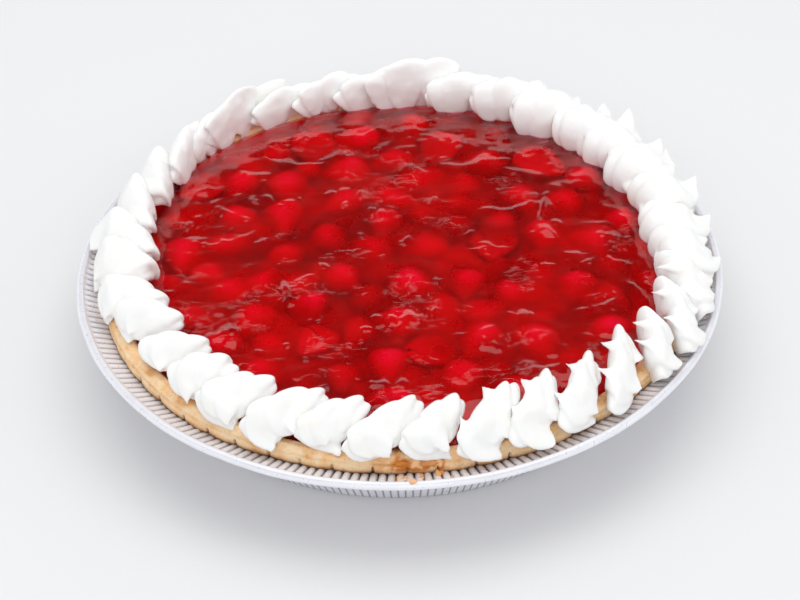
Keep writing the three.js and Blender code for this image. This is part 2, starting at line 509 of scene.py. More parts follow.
@dataclass(frozen=True)
class GelFinish(Finish):
    """Red set gel: a wet clear skin over a body that softens what lies in it, redder with depth."""

    label: str = "red_gel"
    skin_tint: Colour = (1.0, 0.75, 0.92)
    shade_tint: Colour = (1.0, 0.75, 0.88)
    tint: Colour = (0.94, 0.0, 0.40)
    depth_per_metre: float = 480.0
    bend_of_light: float = 1.28
    haze: Point2 = (0.24, 0.36)

    def wire(self, wiring: Wiring) -> None:
        """Fills the node tree: hazy glass over an absorbing red, open to lamp light and soft light."""
        grain = wiring.grain(fine=420.0, coarse=60.0)
        glass = wiring.add(
            "ShaderNodeBsdfPrincipled",
            Base_Color=self.skin_tint,
            Roughness=wiring.between(grain["Coarse Mask"], 0.35, 0.65, *self.haze),
            IOR=self.bend_of_light,
            Specular_IOR_Level=0.0,
            Specular_Tint=(0.0, 0.0, 0.0),
            Transmission_Weight=1.0,
            Coat_Weight=1.0,
            Coat_Roughness=0.02,
            Coat_Normal=self.hairlines(wiring),
        )
        open_way = wiring.add("ShaderNodeBsdfTransparent", Color=self.shade_tint)
        path = wiring.add("ShaderNodeLightPath").outputs
        soft = wiring.maths("MAXIMUM", path["Is Shadow Ray"], path["Is Diffuse Ray"])
        chosen = wiring.add("ShaderNodeMixShader")
        for socket, value in zip(chosen.inputs, (soft, glass.outputs[0], open_way.outputs[0])):
            wiring.feed(socket, value)
        body = wiring.add("ShaderNodeVolumeAbsorption", Color=self.tint, Density=self.depth_per_metre)
        wiring.add("ShaderNodeOutputMaterial", Surface=chosen.outputs[0], Volume=body.outputs[0])

    @staticmethod
    def hairlines(wiring: Wiring) -> bpy.types.NodeSocket:
        """Creases the wet skin with patches of hair-thin lines.

        Args:
            wiring: The material's wiring.

        Returns:
            The normals of the skin.
        """
        stretched = wiring.add("ShaderNodeMapping", Vector=wiring.place(), Scale=(1.0, 1.9, 1.0)).outputs[0]
        lines = wiring.add("ShaderNodeTexNoise", Vector=stretched, Scale=110.0, Detail=2.0, Distortion=0.8)
        patches = wiring.add("ShaderNodeTexNoise", Vector=stretched, Scale=38.0, Detail=1.0)
        nearness = wiring.maths("ABSOLUTE", wiring.maths("SUBTRACT", lines.outputs[0], 0.5))
        hairs = wiring.between(nearness, 0.0, 0.03, 1.0, 0.0)
        height = wiring.maths("MULTIPLY", hairs, wiring.between(patches.outputs[0], 0.55, 0.64))
        return wiring.bump(height, 1.0, 0.0003)


@dataclass(frozen=True)
class BerryFinish(Finish):
    """The skin of a ripe strawberry, with its seeds, and painted shade that darkens it the deeper it lies.
    Metres.
    """

    label: str = "strawberry_skin"
    ripe: Colour = (0.86, 0.008, 0.095)
    paler: Colour = (0.95, 0.035, 0.075)
    seed: Colour = (0.88, 0.10, 0.08)
    # Painted shade that fruit fades into between these heights under the gel; the core takes these colours
    # too.
    deep: Colour = (0.88, 0.005, 0.045)
    darkest: Colour = (0.56, 0.003, 0.024)
    painted_shade_below: Point2 = (0.0328, 0.0388)

    def wire(self, wiring: Wiring) -> None:
        """Fills the node tree: seeds in their dimples on a red that is paler in places, with painted shade
        that darkens it with depth.
        """
        grain = wiring.grain(fine=600.0, coarse=75.0)
        near = wiring.add("ShaderNodeTexVoronoi", Vector=wiring.place(), Scale=330.0).outputs["Distance"]
        tone = wiring.blend(wiring.between(grain["Coarse Mask"], 0.5, 0.72), self.ripe, self.paler)
        tone = wiring.blend(wiring.between(near, 0.10, 0.17, 0.6, 0.0), tone, self.seed)
        bump = wiring.bump(wiring.between(near, 0.0, 0.45), 0.5, 0.0005)
        # Painted shade: darker the deeper the fruit lies.
        tone = self.painted_depth_shade(wiring, tone)
        wiring.surface(Base_Color=tone, Roughness=0.4, Specular_IOR_Level=0.2, Normal=bump)

    def painted_depth_shade(self, wiring: Wiring, tone: bpy.types.NodeSocket) -> bpy.types.NodeSocket:
        """Paints shade into a colour, fading it into the red of the depth the further it lies under the top
        of the gel.

        Args:
            wiring: The material's wiring.
            tone: The colour just under the top.

        Returns:
            The colour with its painted shade.
        """
        height = wiring.add("ShaderNodeSeparateXYZ", Vector=wiring.place()).outputs["Z"]
        return wiring.blend(wiring.between(height, *self.painted_shade_below, 1.0, 0.0), tone, self.lost(wiring))

    def lost(self, wiring: Wiring) -> bpy.types.NodeSocket:
        """Returns the red of the depth, darker in broad patches: the painted shade of deep fruit, and the
        core's own colour.
        """
        grain = wiring.grain(fine=90.0, coarse=32.0)
        return wiring.blend(wiring.between(grain["Coarse Mask"], 0.40, 0.60), self.darkest, self.deep)


@dataclass(frozen=True)
class CutBerryFinish(BerryFinish):
    """The cut face of a strawberry: orange-red flesh with a paler heart."""

    label: str = "strawberry_flesh"
    flesh: Colour = (0.80, 0.035, 0.06)
    heart: Colour = (0.88, 0.11, 0.08)

    def wire(self, wiring: Wiring) -> None:
        """Fills the node tree: streaks of paler flesh, with painted shade that darkens them with depth."""
        grain = wiring.grain(fine=500.0, coarse=130.0)
        tone = wiring.blend(wiring.between(grain["Coarse Mask"], 0.42, 0.66), self.flesh, self.heart)
        wiring.surface(Base_Color=self.painted_depth_shade(wiring, tone), Roughness=0.45, Specular_IOR_Level=0.2)


@dataclass(frozen=True)
class CoreFinish(BerryFinish):
    """The depth of the filling, where fruit and gel can't be told apart."""

    label: str = "deep_filling"

    def wire(self, wiring: Wiring) -> None:
        """Fills the node tree: the same broad patches of red as round the fruit."""
        wiring.surface(Base_Color=self.lost(wiring), Roughness=0.6, Specular_IOR_Level=0.1)


@dataclass(frozen=True)
class FloorFinish(Finish):
    """A plain pale studio floor."""

    label: str = "pale_floor"
    tone: Colour = (0.80, 0.80, 0.80)
    other_tone: Colour = (0.78, 0.78, 0.785)

    def wire(self, wiring: Wiring) -> None:
        """Fills the node tree: two greys that can hardly be told apart."""
        grain = wiring.grain(fine=40.0, coarse=4.0)
        tone = wiring.blend(grain["Coarse Mask"], self.tone, self.other_tone)
        wiring.surface(Base_Color=tone, Roughness=0.9, Specular_IOR_Level=0.1)


# ---- Foil tin ----


@dataclass
class FoilTin:
    """The pressed foil tin: a flat base, a sloping wall, a fluted flange and a rolled rim. Millimetres."""

    node: str = "foil_tin"
    rim_radius: float = 126.0
    rim_height: float = 35.0
    curl_radius: float = 1.6
    foot_radius: float = 95.5
    wall_top: Point2 = (113.4, 28.0)
    thickness: float = 0.4
    flutes: int = 232
    steps_per_flute: int = 6
    flute_height: float = 0.8
    wall_flute_depth: float = 0.3
    dent_depth: float = 0.22

    def outline(self) -> list[Point2]:
        """Returns the section of the tin, from under its middle round the rim to the middle of its floor."""
        curl = (self.rim_radius - self.curl_radius, self.rim_height - self.curl_radius)
        lip = (curl[0] - 1.7, curl[1] - 0.7)
        foot = (self.foot_radius, 0.0)
        wall = self.wall_top
        up = self.thickness
        under = line((0.0, 0.0), (foot[0] - 3.0, 0.0), 4) + line((foot[0] - 3.0, 0.0), foot, 2)
        corner = [(foot[0] + 0.9, 0.25), (foot[0] + 1.5, 0.9)]
        outside = line(corner[-1], wall, 9)[1:] + [wall, (wall[0] + 0.8, wall[1] + 0.7)]
        flange = line((wall[0] + 1.6, wall[1] + 1.1), lip, 8)
        roll = arc(curl, self.curl_radius, -130.0, 165.0, 14)
        inner_flange = [(r, z + up) for r, z in reversed(flange)]
        inner_wall = [(wall[0] + 0.5, wall[1] + 1.1), (wall[0] - 0.5, wall[1] + 0.2)]
        inside = line((wall[0] - 0.8, wall[1] - 0.4), (foot[0] + 0.9, 1.1), 5)
        floor = [(foot[0] + 0.2, up), (foot[0] - 3.0, up), (foot[0] * 0.6, up), (0.0, up)]
        return under + [foot] + corner + outside + flange + roll + inner_flange + inner_wall + inside + floor

    def pressed(self, point: Vector) -> Vector:
        """Presses the flutes and the wrinkles of handling into the plain tin.

        Args:
            point: A point of the plain tin.

        Returns:
            Its new place.
        """
        radius = math.hypot(point.x, point.y)
        if radius < self.foot_radius - 1.0:
            return point
        angle = math.atan2(point.y, point.x)
        across = 2.0 * ((angle / TURN * self.flutes) % 1.0) - 1.0
        wave = 2.0 * math.sqrt(max(0.0, 1.0 - across * across)) - 1.0
        flange = smooth_step(self.wall_top[0] - 1.0, self.wall_top[0] + 1.0, radius)
        flange *= 1.0 - smooth_step(self.rim_radius - 4.4, self.rim_radius - 3.0, radius)
        wall = smooth_step(self.foot_radius + 3.0, self.foot_radius + 9.0, radius)
        wall *= 1.0 - smooth_step(self.wall_top[0] - 2.0, self.wall_top[0], radius)
        uneven = 1.0 + 0.35 * rough(point.x, point.y, 0.0, 9.0)
        lift = self.flute_height * wave * flange * uneven
        pull = self.wall_flute_depth * wave * wall * uneven
        above_foot = smooth_step(self.foot_radius, self.foot_radius + 8.0, radius)
        dent = self.dent_depth * rough(point.x, point.y, point.z, 26.0) * above_foot
        shrink = (radius - pull + dent) / radius
        return Vector((point.x * shrink, point.y * shrink, point.z + lift + dent * flange))

    def build(self) -> bpy.types.Object:
        """Returns the finished tin."""
        bm = turned(self.outline(), self.flutes // 4, 4 * self.steps_per_flute)
        bend_all(bm, self.pressed)
        return finished_piece(bm, "foil_tin_pressed", [FoilFinish().material()], [self.node])


# ---- Pastry ----


@dataclass
class Crust:
    """The shortcrust shell, whose rim stands on the flange and is pressed all round. Millimetres."""

    node: str = "crust"
    marks: int = 58
    steps_per_mark: int = 24
    mark_depth: float = 1.3
    mark_half_width_deg: float = 0.19
    mark_above: float = 0.06
    mark_sink: float = 0.3
    groove_height: float = 34.4
    groove_width: float = 0.55
    groove_depth: float = 0.45
    hidden_within: float = 100.0
    rim_within: float = 106.0

    # How far its unevenness goes.
    wander: float = 0.55
    crumb: float = 0.20
    streak: float = 0.16
    syrup_lumps: float = 0.9
    puff: float = 0.45
    swell: float = 0.55

    # The radii or heights between which one part of the rim passes into the next.
    outside_from: Point2 = (112.6, 114.4)
    low_until: Point2 = (32.6, 34.2)
    rim_from: Point2 = (30.6, 32.5)
    shoulder_from: Point2 = (33.0, 36.0)
    mark_top: Point2 = (34.0, 36.5)
    brown_top: Point2 = (35.4, 37.0)
    brown_foot: Point2 = (30.6, 33.0)
    shaded_foot: Point2 = (30.2, 31.9)
    stain_edges: Point2 = (-0.30, 0.12)

    # How brown each part bakes, how much shade is painted into its furrow as extra browning, and how dark the
    # painted shade in its marks and along its foot is.
    least_browning: float = 0.12
    top_browning: float = 0.42
    foot_browning: float = 0.60
    groove_painted_shade: float = 0.35
    patch_browning: float = 0.25
    mark_shade: float = 0.85
    foot_shade: float = 0.9

    rim_outside: float = 115.6
    rim_bottom: float = 30.25
    rim_top: float = 37.2
    syrup_from_deg: float = 267.2
    syrup_to_deg: float = 277.2
    mark_angles: list[float] = field(default_factory=list)

    def __post_init__(self) -> None:
        """Spaces the pressed marks unevenly, as a hand does."""
        draw = random.Random(SHAPE_SEED)
        pitch = 360.0 / self.marks
        self.mark_angles = [(k + 0.5 + draw.uniform(-0.16, 0.16)) * pitch for k in range(self.marks)]

    def outline(self) -> list[Point2]:
        """Returns the shell's section, from under its middle round the rim to the middle of its floor."""
        out = self.rim_outside
        hidden_outside = [(0.0, 1.1), (50.0, 1.1), (93.9, 1.1), (102.5, 15.0), (111.0, 27.6), (111.9, 29.6)]
        foot = line((111.9, self.rim_bottom - 0.4), (out - 0.7, self.rim_bottom), 3)[1:]
        side = line((out - 0.35, self.rim_bottom + 0.1), (out, 33.4), 6)
        side += line((out, 33.4), (out - 0.35, 35.2), 4)
        shoulder = line((out - 0.35, 35.2), (112.9, self.rim_top), 6)
        top = line((112.9, self.rim_top), (110.2, 36.9), 5) + line((110.2, 36.9), (109.3, 35.9), 3)
        inner = line((109.3, 35.9), (107.0, 32.4), 4)
        hidden_inside = [(107.0, 32.4), (98.0, 18.0), (90.2, 5.9), (89.0, 5.5), (50.0, 5.5), (0.0, 5.5)]
        return hidden_outside + foot + side + shoulder + top + inner + hidden_inside

    def pressed_at(self, angle_deg: float) -> tuple[float, float]:
        """Finds what the nearest pressed mark does at an angle.

        Args:
            angle_deg: The angle round the pie.

        Returns:
            How deep the mark is there, and how far the dough swells out beside it, from 0 to 1.
        """
        nearest = self.mark_angles[int(angle_deg / 360.0 * self.marks) % self.marks]
        gap = angle_gap(angle_deg, nearest)
        away = gap / self.mark_half_width_deg
        share = min(1.0, abs(gap) / (180.0 / self.marks))
        mark = math.exp(-away * away) * (0.7 + 0.5 * noise.noise(Vector((nearest, 7.0, 0.0))))
        return mark, share * (2.0 - share)

    def syrup_at(self, angle_deg: float, point: Vector) -> float:
        """Finds where syrup has boiled over the rim.

        Args:
            angle_deg: The angle round the pie.
            point: The point at that angle.

        Returns:
            How much syrup is on it, from 0 to 1.
        """
        middle = 0.5 * (self.syrup_from_deg + self.syrup_to_deg)
        half = 0.5 * (self.syrup_to_deg - self.syrup_from_deg)
        ragged = half * (1.0 + 0.35 * rough(point.x, point.y, point.z, 4.0))
        return 1.0 - smooth_step(ragged * 0.7, ragged, abs(angle_gap(angle_deg, middle)))

    def build(self) -> bpy.types.Object:
        """Returns the finished shell, with how brown it is, its syrup and its painted shade stored on its
        vertices.
        """
        bm = turned(self.outline(), self.marks, self.steps_per_mark)
        bake_and_shade = bm.verts.layers.float_color.new(BAKE_AND_SHADE)
        for vert in bm.verts:
            point = vert.co
            radius = math.hypot(point.x, point.y)
            if radius < self.hidden_within:
                vert[bake_and_shade] = (0.2, 0.0, 0.0, 1.0)
                continue
            vert.co, vert[bake_and_shade] = self.baked_and_shaded(point.copy(), radius)
        return finished_piece(bm, "crust_baked", [PastryFinish().material()], [self.node])

    def baked_and_shaded(self, point: Vector, radius: float) -> tuple[Vector, tuple[float, float, float, float]]:
        """Shapes and browns one point of the rim, and paints shade into its furrow, its marks and along its
        foot.

        Args:
            point: Its place on the plain shell.
            radius: Its distance from the axis.

        Returns:
            Its new place, and as a colour: how brown it is with the painted shade of its furrow, its syrup,
                and the painted shade of its marks and foot.
        """
        angle_deg = math.degrees(math.atan2(point.y, point.x)) % 360.0
        outside = smooth_step(*self.outside_from, radius)
        low = 1.0 - smooth_step(*self.low_until, point.z)
        rim = smooth_step(*self.rim_from, point.z) if radius > self.rim_within else 0.0
        pressed, swollen = self.pressed_at(angle_deg)
        mark = pressed * outside * mix(self.mark_above, 1.0, low)
        syrup = self.syrup_at(angle_deg, point) * rim
        # A furrow round the side: carved in, and darkened with painted shade.
        painted_shade_groove = math.exp(-(((point.z - self.groove_height) / self.groove_width) ** 2)) * outside
        painted_shade_groove *= 0.6 + 0.6 * rough(angle_deg, 3.0, 0.0, 9.0)
        wander = self.wander * rough(point.x, point.y, 5.0, 34.0)
        crumb = self.crumb * rough(point.x, point.y, point.z, 2.6, 4)
        streak = self.streak * noise.noise(Vector((angle_deg * 2.1, 4.0, point.z * 0.12))) * outside
        lumps = self.syrup_lumps * max(0.0, rough(point.x, point.y, point.z, 3.4, 3)) * syrup
        puff = self.puff * swollen * low
        pressed_in = self.mark_depth * mark
        outwards = wander + puff + rim * (crumb + streak) - pressed_in - self.groove_depth * painted_shade_groove + lumps
        swell = self.swell * rough(point.x, point.y, 9.0, 15.0) + crumb + lumps
        upwards = rim * smooth_step(*self.shoulder_from, point.z) * swell
        sunk = mark * self.mark_sink * smooth_step(*self.mark_top, point.z)
        scale = (radius + outwards * outside + crumb * rim * (1.0 - outside)) / radius
        place = Vector((point.x * scale, point.y * scale, point.z + upwards - sunk))
        top = self.top_browning * smooth_step(*self.brown_top, point.z)
        browning_and_shade = self.least_browning + top * (0.5 + rough(point.x, point.y, 2.0, 11.0))
        browning_and_shade += self.foot_browning * (1.0 - smooth_step(*self.brown_foot, point.z)) * outside
        patches = self.patch_browning * max(0.0, rough(point.x, point.y, point.z, 6.0)) * outside
        # Painted shade: the furrow is made browner.
        browning_and_shade += self.groove_painted_shade * painted_shade_groove + patches
        # Painted shade along the foot of the rim, and in the pressed marks.
        shade = self.foot_shade * (1.0 - smooth_step(*self.shaded_foot, point.z)) * outside
        depth = max(self.mark_shade * mark * low, shade)
        stain = syrup * smooth_step(*self.stain_edges, rough(point.x, point.y, point.z, 4.2))
        return place, (max(0.0, min(1.0, browning_and_shade)), stain, depth, 1.0)


@dataclass
class Spills:
    """Crumbs and beads of syrup on the flange, where the filling boiled over. Millimetres and degrees."""

    beads: int = 14
    from_deg: float = 268.5
    to_deg: float = 278.0
    reach: Point2 = (116.6, 121.5)
    flange: tuple[Point2, ...] = ((115.0, 30.1), (122.7, 33.7))
    crumb_browning: float = 0.40

    # The lumps that show plainly: angle, radius, height, half size outwards, round the pie and up, syrup.
    PLAIN_LUMPS = (
        (274.2, 114.7, 34.7, 1.6, 3.3, 1.5, 0.60),
        (269.4, 114.9, 34.6, 0.9, 2.6, 1.5, 0.95),
        (267.9, 114.9, 33.2, 0.8, 1.4, 1.0, 0.85),
        (271.2, 124.2, 34.9, 1.1, 1.5, 0.7, 0.25),
        (275.6, 118.6, 32.0, 2.7, 0.9, 0.5, 0.40),
        (276.2, 116.6, 31.1, 1.2, 1.2, 0.7, 0.60),
    )

    def build(self) -> bpy.types.Object:
        """Returns the finished crumbs, as one piece."""
        draw = random.Random(SHAPE_SEED + 3)
        lumps = list(self.PLAIN_LUMPS)
        for _ in range(self.beads):
            radius, angle = draw.uniform(*self.reach), draw.uniform(self.from_deg, self.to_deg)
            size = draw.uniform(0.3, 0.9)
            wide, deep = size * draw.uniform(0.7, 1.4), size * draw.uniform(0.7, 1.4)
            height, syrup = height_on(self.flange, radius), draw.uniform(0.0, 0.7)
            lumps.append((angle, radius, height, wide, deep, 0.6 * size, syrup))
        whole = bmesh.new()
        whole.verts.layers.float_color.new(BAKE_AND_SHADE)
        for angle, radius, height, out, round_pie, up, syrup in lumps:
            one = bmesh.new()
            bmesh.ops.create_icosphere(one, subdivisions=3, radius=1.0)
            shift = Vector((draw.uniform(0.0, 50.0), 0.0, 0.0))
            colour = one.verts.layers.float_color.new(BAKE_AND_SHADE)
            for vert in one.verts:
                coarse, fine = noise.noise(vert.co * 1.3 + shift), noise.noise(vert.co * 3.5 + shift)
                vert.co *= 1.0 + 0.30 * coarse + 0.10 * fine
                vert[colour] = (self.crumb_browning, syrup, 0.0, 1.0)
            bmesh.ops.scale(one, vec=(out, round_pie, up), verts=one.verts)
            bmesh.ops.translate(one, vec=(radius, 0.0, height), verts=one.verts)
            turn = Matrix.Rotation(math.radians(angle), 3, "Z")
            bmesh.ops.rotate(one, cent=(0, 0, 0), matrix=turn, verts=one.verts)
            join(whole, one)
        return finished_piece(whole, "crumbs_spilt", [PastryFinish().material()])


# ---- Filling ----


class Cut(Enum):
    """How a strawberry went into the filling."""

    WHOLE = "whole"
    HALVED = "halved"


@dataclass(frozen=True)
class Berry:
    """One strawberry under the surface. Millimetres and degrees."""

    x: float
    y: float
    width: float
    length: float
    heading: float
    sunk: float
    cut: Cut = Cut.WHOLE


@dataclass(frozen=True)
class Crease:
    """One crease in the gel's skin: a gentle rise, then a steeper fall behind. Millimetres and degrees."""

    x: float
    y: float
    length: float
    heading: float
    width: float
    height: float

    def lift(self, x: float, y: float) -> float:
        """Works out how much the crease lifts the skin.

        Args:
            x: Where, to the right.
            y: Where, to the back.

        Returns:
            The lift there.
        """
        if abs(x - self.x) > self.length or abs(y - self.y) > self.length:
            return 0.0
        u, v = own_axes(x - self.x, y - self.y, self.heading)
        u /= 0.5 * self.length
        if abs(u) >= 1.0:
            return 0.0
        v += 0.06 * self.length * rough(u * 9.0, self.x, self.y, 7.0, 2) - 0.10 * self.length * (u * u - 0.3)
        v += 0.35 * self.width * rough(x, y, self.x, 2.6, 2)
        swelling = 0.75 + 1.2 * rough(u * 10.0, self.y, self.x, 7.0, 2)
        width = self.width * max(0.25, swelling) * (1.0 - u * u) ** 0.4
        fall = v / (width if v > 0.0 else 2.6 * width)
        return self.height * (width / self.width) * math.exp(-fall * fall)


@dataclass
class Filling:
    """The set filling: a core, the strawberries over it, and the gel that they show through. Millimetres."""

    node: str = "strawberry_filling"
    gel_edge: float = 109.0
    gel_floor: float = 28.0
    core_top: float = 29.5
    edge_heights: tuple[Point2, ...] = ((0.0, 40.6), (60.0, 40.4), (92.0, 40.0), (104.0, 38.2), (109.0, 35.6))
    rings: int = 140
    sectors: int = 40
    steps_per_sector: int = 16
    berry_reach: float = 101.0
    near_spacing: float = 14.6
    deep_spacing: float = 11.5
    small_creases: int = 110
    swell: float = 0.45
    swell_reach: float = 14.0
    wall_foot: float = 86.2
    wall_slope: float = 0.625
    tries: int = 6000
    berries: list[Berry] = field(default_factory=list)
    deep_berries: list[Berry] = field(default_factory=list)
    creases: list[Crease] = field(default_factory=list)

    # The berries that show most plainly: x, y, width, length, heading, depth under the surface, any cut.
    PLAIN_BERRIES = (
        (38.4, 9.3, 20.2, 27.5, 80.0, 0.6, Cut.HALVED),
        (5.2, -16.6, 22.4, 25.3, 150.0, 0.6),
        (-5.2, 23.9, 16.8, 22.0, 80.0, 1.6),
        (-44.6, 50.9, 20.2, 24.2, 100.0, 0.9),
        (-64.4, 51.9, 19.0, 24.2, 70.0, 1.0),
        (-20.8, 60.2, 21.3, 24.2, 10.0, 0.9),
        (-1.0, 67.5, 19.0, 23.1, 20.0, 1.4),
        (18.7, 74.8, 19.0, 23.1, 60.0, 0.3, Cut.HALVED),
        (37.3, 64.3, 19.0, 22.0, 0.0, 1.5),
        (59.2, 61.3, 20.2, 24.2, 140.0, 0.4, Cut.HALVED),
        (-34.2, 78.9, 19.0, 23.1, 110.0, 0.4, Cut.HALVED),
        (-16.7, 84.1, 17.9, 24.2, 0.0, 0.4),
        (10.3, 8.3, 20.2, 24.2, 20.0, 2.6),
        (-21.8, -11.4, 16.8, 20.9, 120.0, 1.2),
        (-34.2, -28.0, 19.0, 23.1, 90.0, 0.5),
        (-56.0, -34.3, 20.2, 25.3, 60.0, 1.6),
        (-66.5, -16.7, 21.3, 24.2, 20.0, 1.3),
        (-85.1, 7.3, 17.9, 23.1, 90.0, 1.0),
        (-65.5, 30.1, 20.2, 23.1, 40.0, 1.0),
        (-45.7, 30.2, 20.2, 25.3, 90.0, 1.3),
        (-27.0, 14.5, 20.2, 23.1, 130.0, 1.8),
        (-45.5, 5.2, 19.0, 24.2, 30.0, 2.2),
        (43.6, -22.8, 20.2, 23.1, 160.0, 1.5),
        (67.5, -19.7, 21.3, 23.1, 70.0, 1.0),
        (57.1, 13.5, 17.9, 22.0, 90.0, 1.2),
        (77.8, 8.4, 21.3, 26.4, 100.0, 1.4),
        (76.8, -46.0, 21.3, 27.5, 30.0, 0.3),
        (50.8, -53.0, 20.2, 26.4, 110.0, 0.8),
        (30.1, -49.8, 19.0, 24.2, 60.0, 0.8),
        (10.4, -56.0, 19.0, 22.0, 20.0, 0.5, Cut.HALVED),
        (-5.2, -63.3, 17.9, 20.9, 90.0, 0.4),
        (-31.2, -48.8, 16.8, 19.8, 50.0, 0.2, Cut.HALVED),
        (-2.1, -38.4, 21.3, 26.4, 0.0, 1.2),
        (-49.8, -64.5, 19.0, 24.2, 150.0, 1.0),
        (-68.5, -48.8, 19.0, 22.0, 30.0, 1.5),
        (21.7, -70.5, 20.2, 23.1, 80.0, 1.6),
        (-4.2, -82.8, 17.9, 22.0, 10.0, 0.6),
        (25.9, -16.5, 16.8, 20.9, 90.0, 1.3),
        (48.8, 38.5, 20.2, 25.3, 10.0, 1.5),
        (68.5, 34.4, 19.0, 24.2, 100.0, 1.8),
        (-22.8, 38.4, 19.0, 24.2, 30.0, 1.5),
        (-80.0, 53.0, 19.0, 24.2, 50.0, 0.3, Cut.HALVED),
        (90.4, 20.7, 17.9, 22.0, 90.0, 0.8),
        (78.0, 50.0, 19.0, 23.1, 130.0, 0.9),
    )

    # The creases that catch the light most plainly: x, y, length, heading, width, height.
    PLAIN_CREASES = (
        (-63.5, 10.0, 20.0, 28.0, 1.89, 0.68),
        (-69.5, 29.0, 11.0, -40.0, 1.74, 0.63),
        (-85.0, 21.0, 9.0, -15.0, 1.45, 0.52),
        (-54.0, 36.5, 8.0, 30.0, 1.45, 0.52),
        (-34.0, -14.0, 17.0, 48.0, 1.74, 0.63),
        (-42.0, -22.0, 11.0, 12.0, 3.48, 1.25),
        (-18.0, 0.5, 19.0, -8.0, 1.74, 0.63),
        (-25.0, 39.0, 13.0, 12.0, 1.45, 0.52),
        (-15.0, 35.0, 8.0, 35.0, 1.45, 0.52),
        (-1.5, -42.5, 21.0, 2.0, 3.19, 1.15),
        (12.5, -37.5, 7.0, -10.0, 1.74, 0.63),
        (45.0, -41.5, 10.0, -4.0, 2.9, 1.04),
        (-66.0, -47.0, 12.0, 15.0, 2.61, 0.94),
        (-5.0, -79.0, 14.0, 4.0, 2.61, 0.94),
        (20.0, -68.0, 8.0, 40.0, 1.45, 0.52),
        (44.0, 26.0, 34.0, 3.0, 1.74, 0.63),
        (57.0, 27.0, 10.0, -12.0, 3.19, 1.15),
        (58.5, 11.5, 14.0, 36.0, 1.45, 0.52),
        (56.0, 50.0, 25.0, -5.0, 1.89, 0.68),
        (56.5, 34.0, 9.0, 0.0, 1.45, 0.52),
        (33.0, 56.5, 30.0, 6.0, 2.46, 0.89),
        (-42.0, 61.0, 28.0, -8.0, 1.89, 0.68),
        (-24.0, 66.0, 17.0, 30.0, 1.74, 0.63),
        (6.0, 56.0, 19.0, -48.0, 1.3, 0.47),
        (92.0, -24.0, 15.0, 40.0, 2.03, 0.73),
        (76.0, -36.5, 19.0, 25.0, 1.74, 0.63),
        (77.0, -53.0, 23.0, 6.0, 1.59, 0.57),
        (35.0, -59.0, 12.0, 5.0, 1.74, 0.63),
        (38.0, 0.5, 14.0, -12.0, 1.74, 0.63),
        (85.0, 5.0, 13.0, -14.0, 1.89, 0.68),
        (15.0, -20.0, 6.0, 10.0, 1.45, 0.52),
        (-31.0, -53.0, 9.0, -40.0, 1.45, 0.52),
        (28.0, -51.0, 20.0, 14.0, 1.3, 0.47),
        (50.0, -72.5, 18.0, 8.0, 1.45, 0.52),
        (-52.0, 78.0, 20.0, 5.0, 2.32, 0.84),
        (3.0, 83.0, 24.0, -6.0, 2.32, 0.84),
        (63.0, 73.0, 14.0, -30.0, 1.89, 0.68),
        (-78.0, 43.0, 12.0, 20.0, 1.74, 0.63),
    )

    def __post_init__(self) -> None:
        """Places the plain berries and creases, and fills the room between them with lesser ones."""
        draw = random.Random(SHAPE_SEED + 1)
        self.berries = [Berry(*facts) for facts in self.PLAIN_BERRIES]
        self.scatter(self.berries, self.near_spacing, (1.6, 5.0), draw)
        self.scatter(self.deep_berries, self.deep_spacing, (6.0, 8.0), draw)
        self.creases = [Crease(*facts) for facts in self.PLAIN_CREASES]
        for _ in range(self.small_creases):
            x, y = self.somewhere(draw)
            length, heading = draw.uniform(2.5, 8.0), draw.gauss(5.0, 25.0)
            width = draw.uniform(0.6, 1.2)
            self.creases.append(Crease(x, y, length, heading, width, width * draw.uniform(0.3, 0.55)))

    def somewhere(self, draw: random.Random) -> Point2:
        """Returns a place drawn evenly from the top of the filling."""
        radius, angle = self.berry_reach * math.sqrt(draw.random()), draw.uniform(0.0, TURN)
        return radius * math.cos(angle), radius * math.sin(angle)

    def scatter(self, berries: list[Berry], spacing: float, depths: Point2, draw: random.Random) -> None:
        """Adds berries wherever there is room for them.

        Args:
            berries: The berries so far, which grow.
            spacing: Least distance between two middles.
            depths: Least and greatest depth under the surface.
            draw: Where the unevenness comes from.
        """
        for _ in range(self.tries):
            x, y = self.somewhere(draw)
            if all(math.hypot(x - other.x, y - other.y) > spacing for other in berries):
                width, heading = draw.uniform(16.0, 21.5), draw.uniform(0.0, 360.0)
                length = width * draw.uniform(1.1, 1.45)
                berries.append(Berry(x, y, width, length, heading, draw.uniform(*depths)))

    def swell_at(self, x: float, y: float) -> float:
        """Works out how much the berries below lift the gel.

        Args:
            x: Where, to the right.
            y: Where, to the back.

        Returns:
            The lift there.
        """
        most = 0.0
        for berry in self.berries:
            if abs(x - berry.x) > self.swell_reach or abs(y - berry.y) > self.swell_reach:
                continue
            u, v = own_axes(x - berry.x, y - berry.y, berry.heading)
            u, v = u / (0.62 * berry.length), v / (0.62 * berry.width)
            away = u * u + v * v
            if away < 1.0:
                most = max(most, (1.0 - away) ** 1.4 * (1.25 - 0.24 * berry.sunk))
        return self.swell * most

    def surface(self, x: float, y: float) -> float:
        """Works out the gel's wet top.

        Args:
            x: Where, to the right.
            y: Where, to the back.

        Returns:
            Its height there.
        """
        radius = math.hypot(x, y)
        level = height_on(self.edge_heights, radius)
        calm = 1.0 - smooth_step(101.0, 108.0, radius)
        restless = mix(0.20, 0.5, smooth_step(60.0, 85.0, radius))
        slow = 0.3 * rough(x, y, 2.0, 30.0, 2) + restless * rough(x, 1.4 * y, 4.0, 9.0, 2)
        folds = sum(crease.lift(x, y) for crease in self.creases)
        return level + (self.swell_at(x, y) - 0.4 * self.swell + slow + folds) * calm

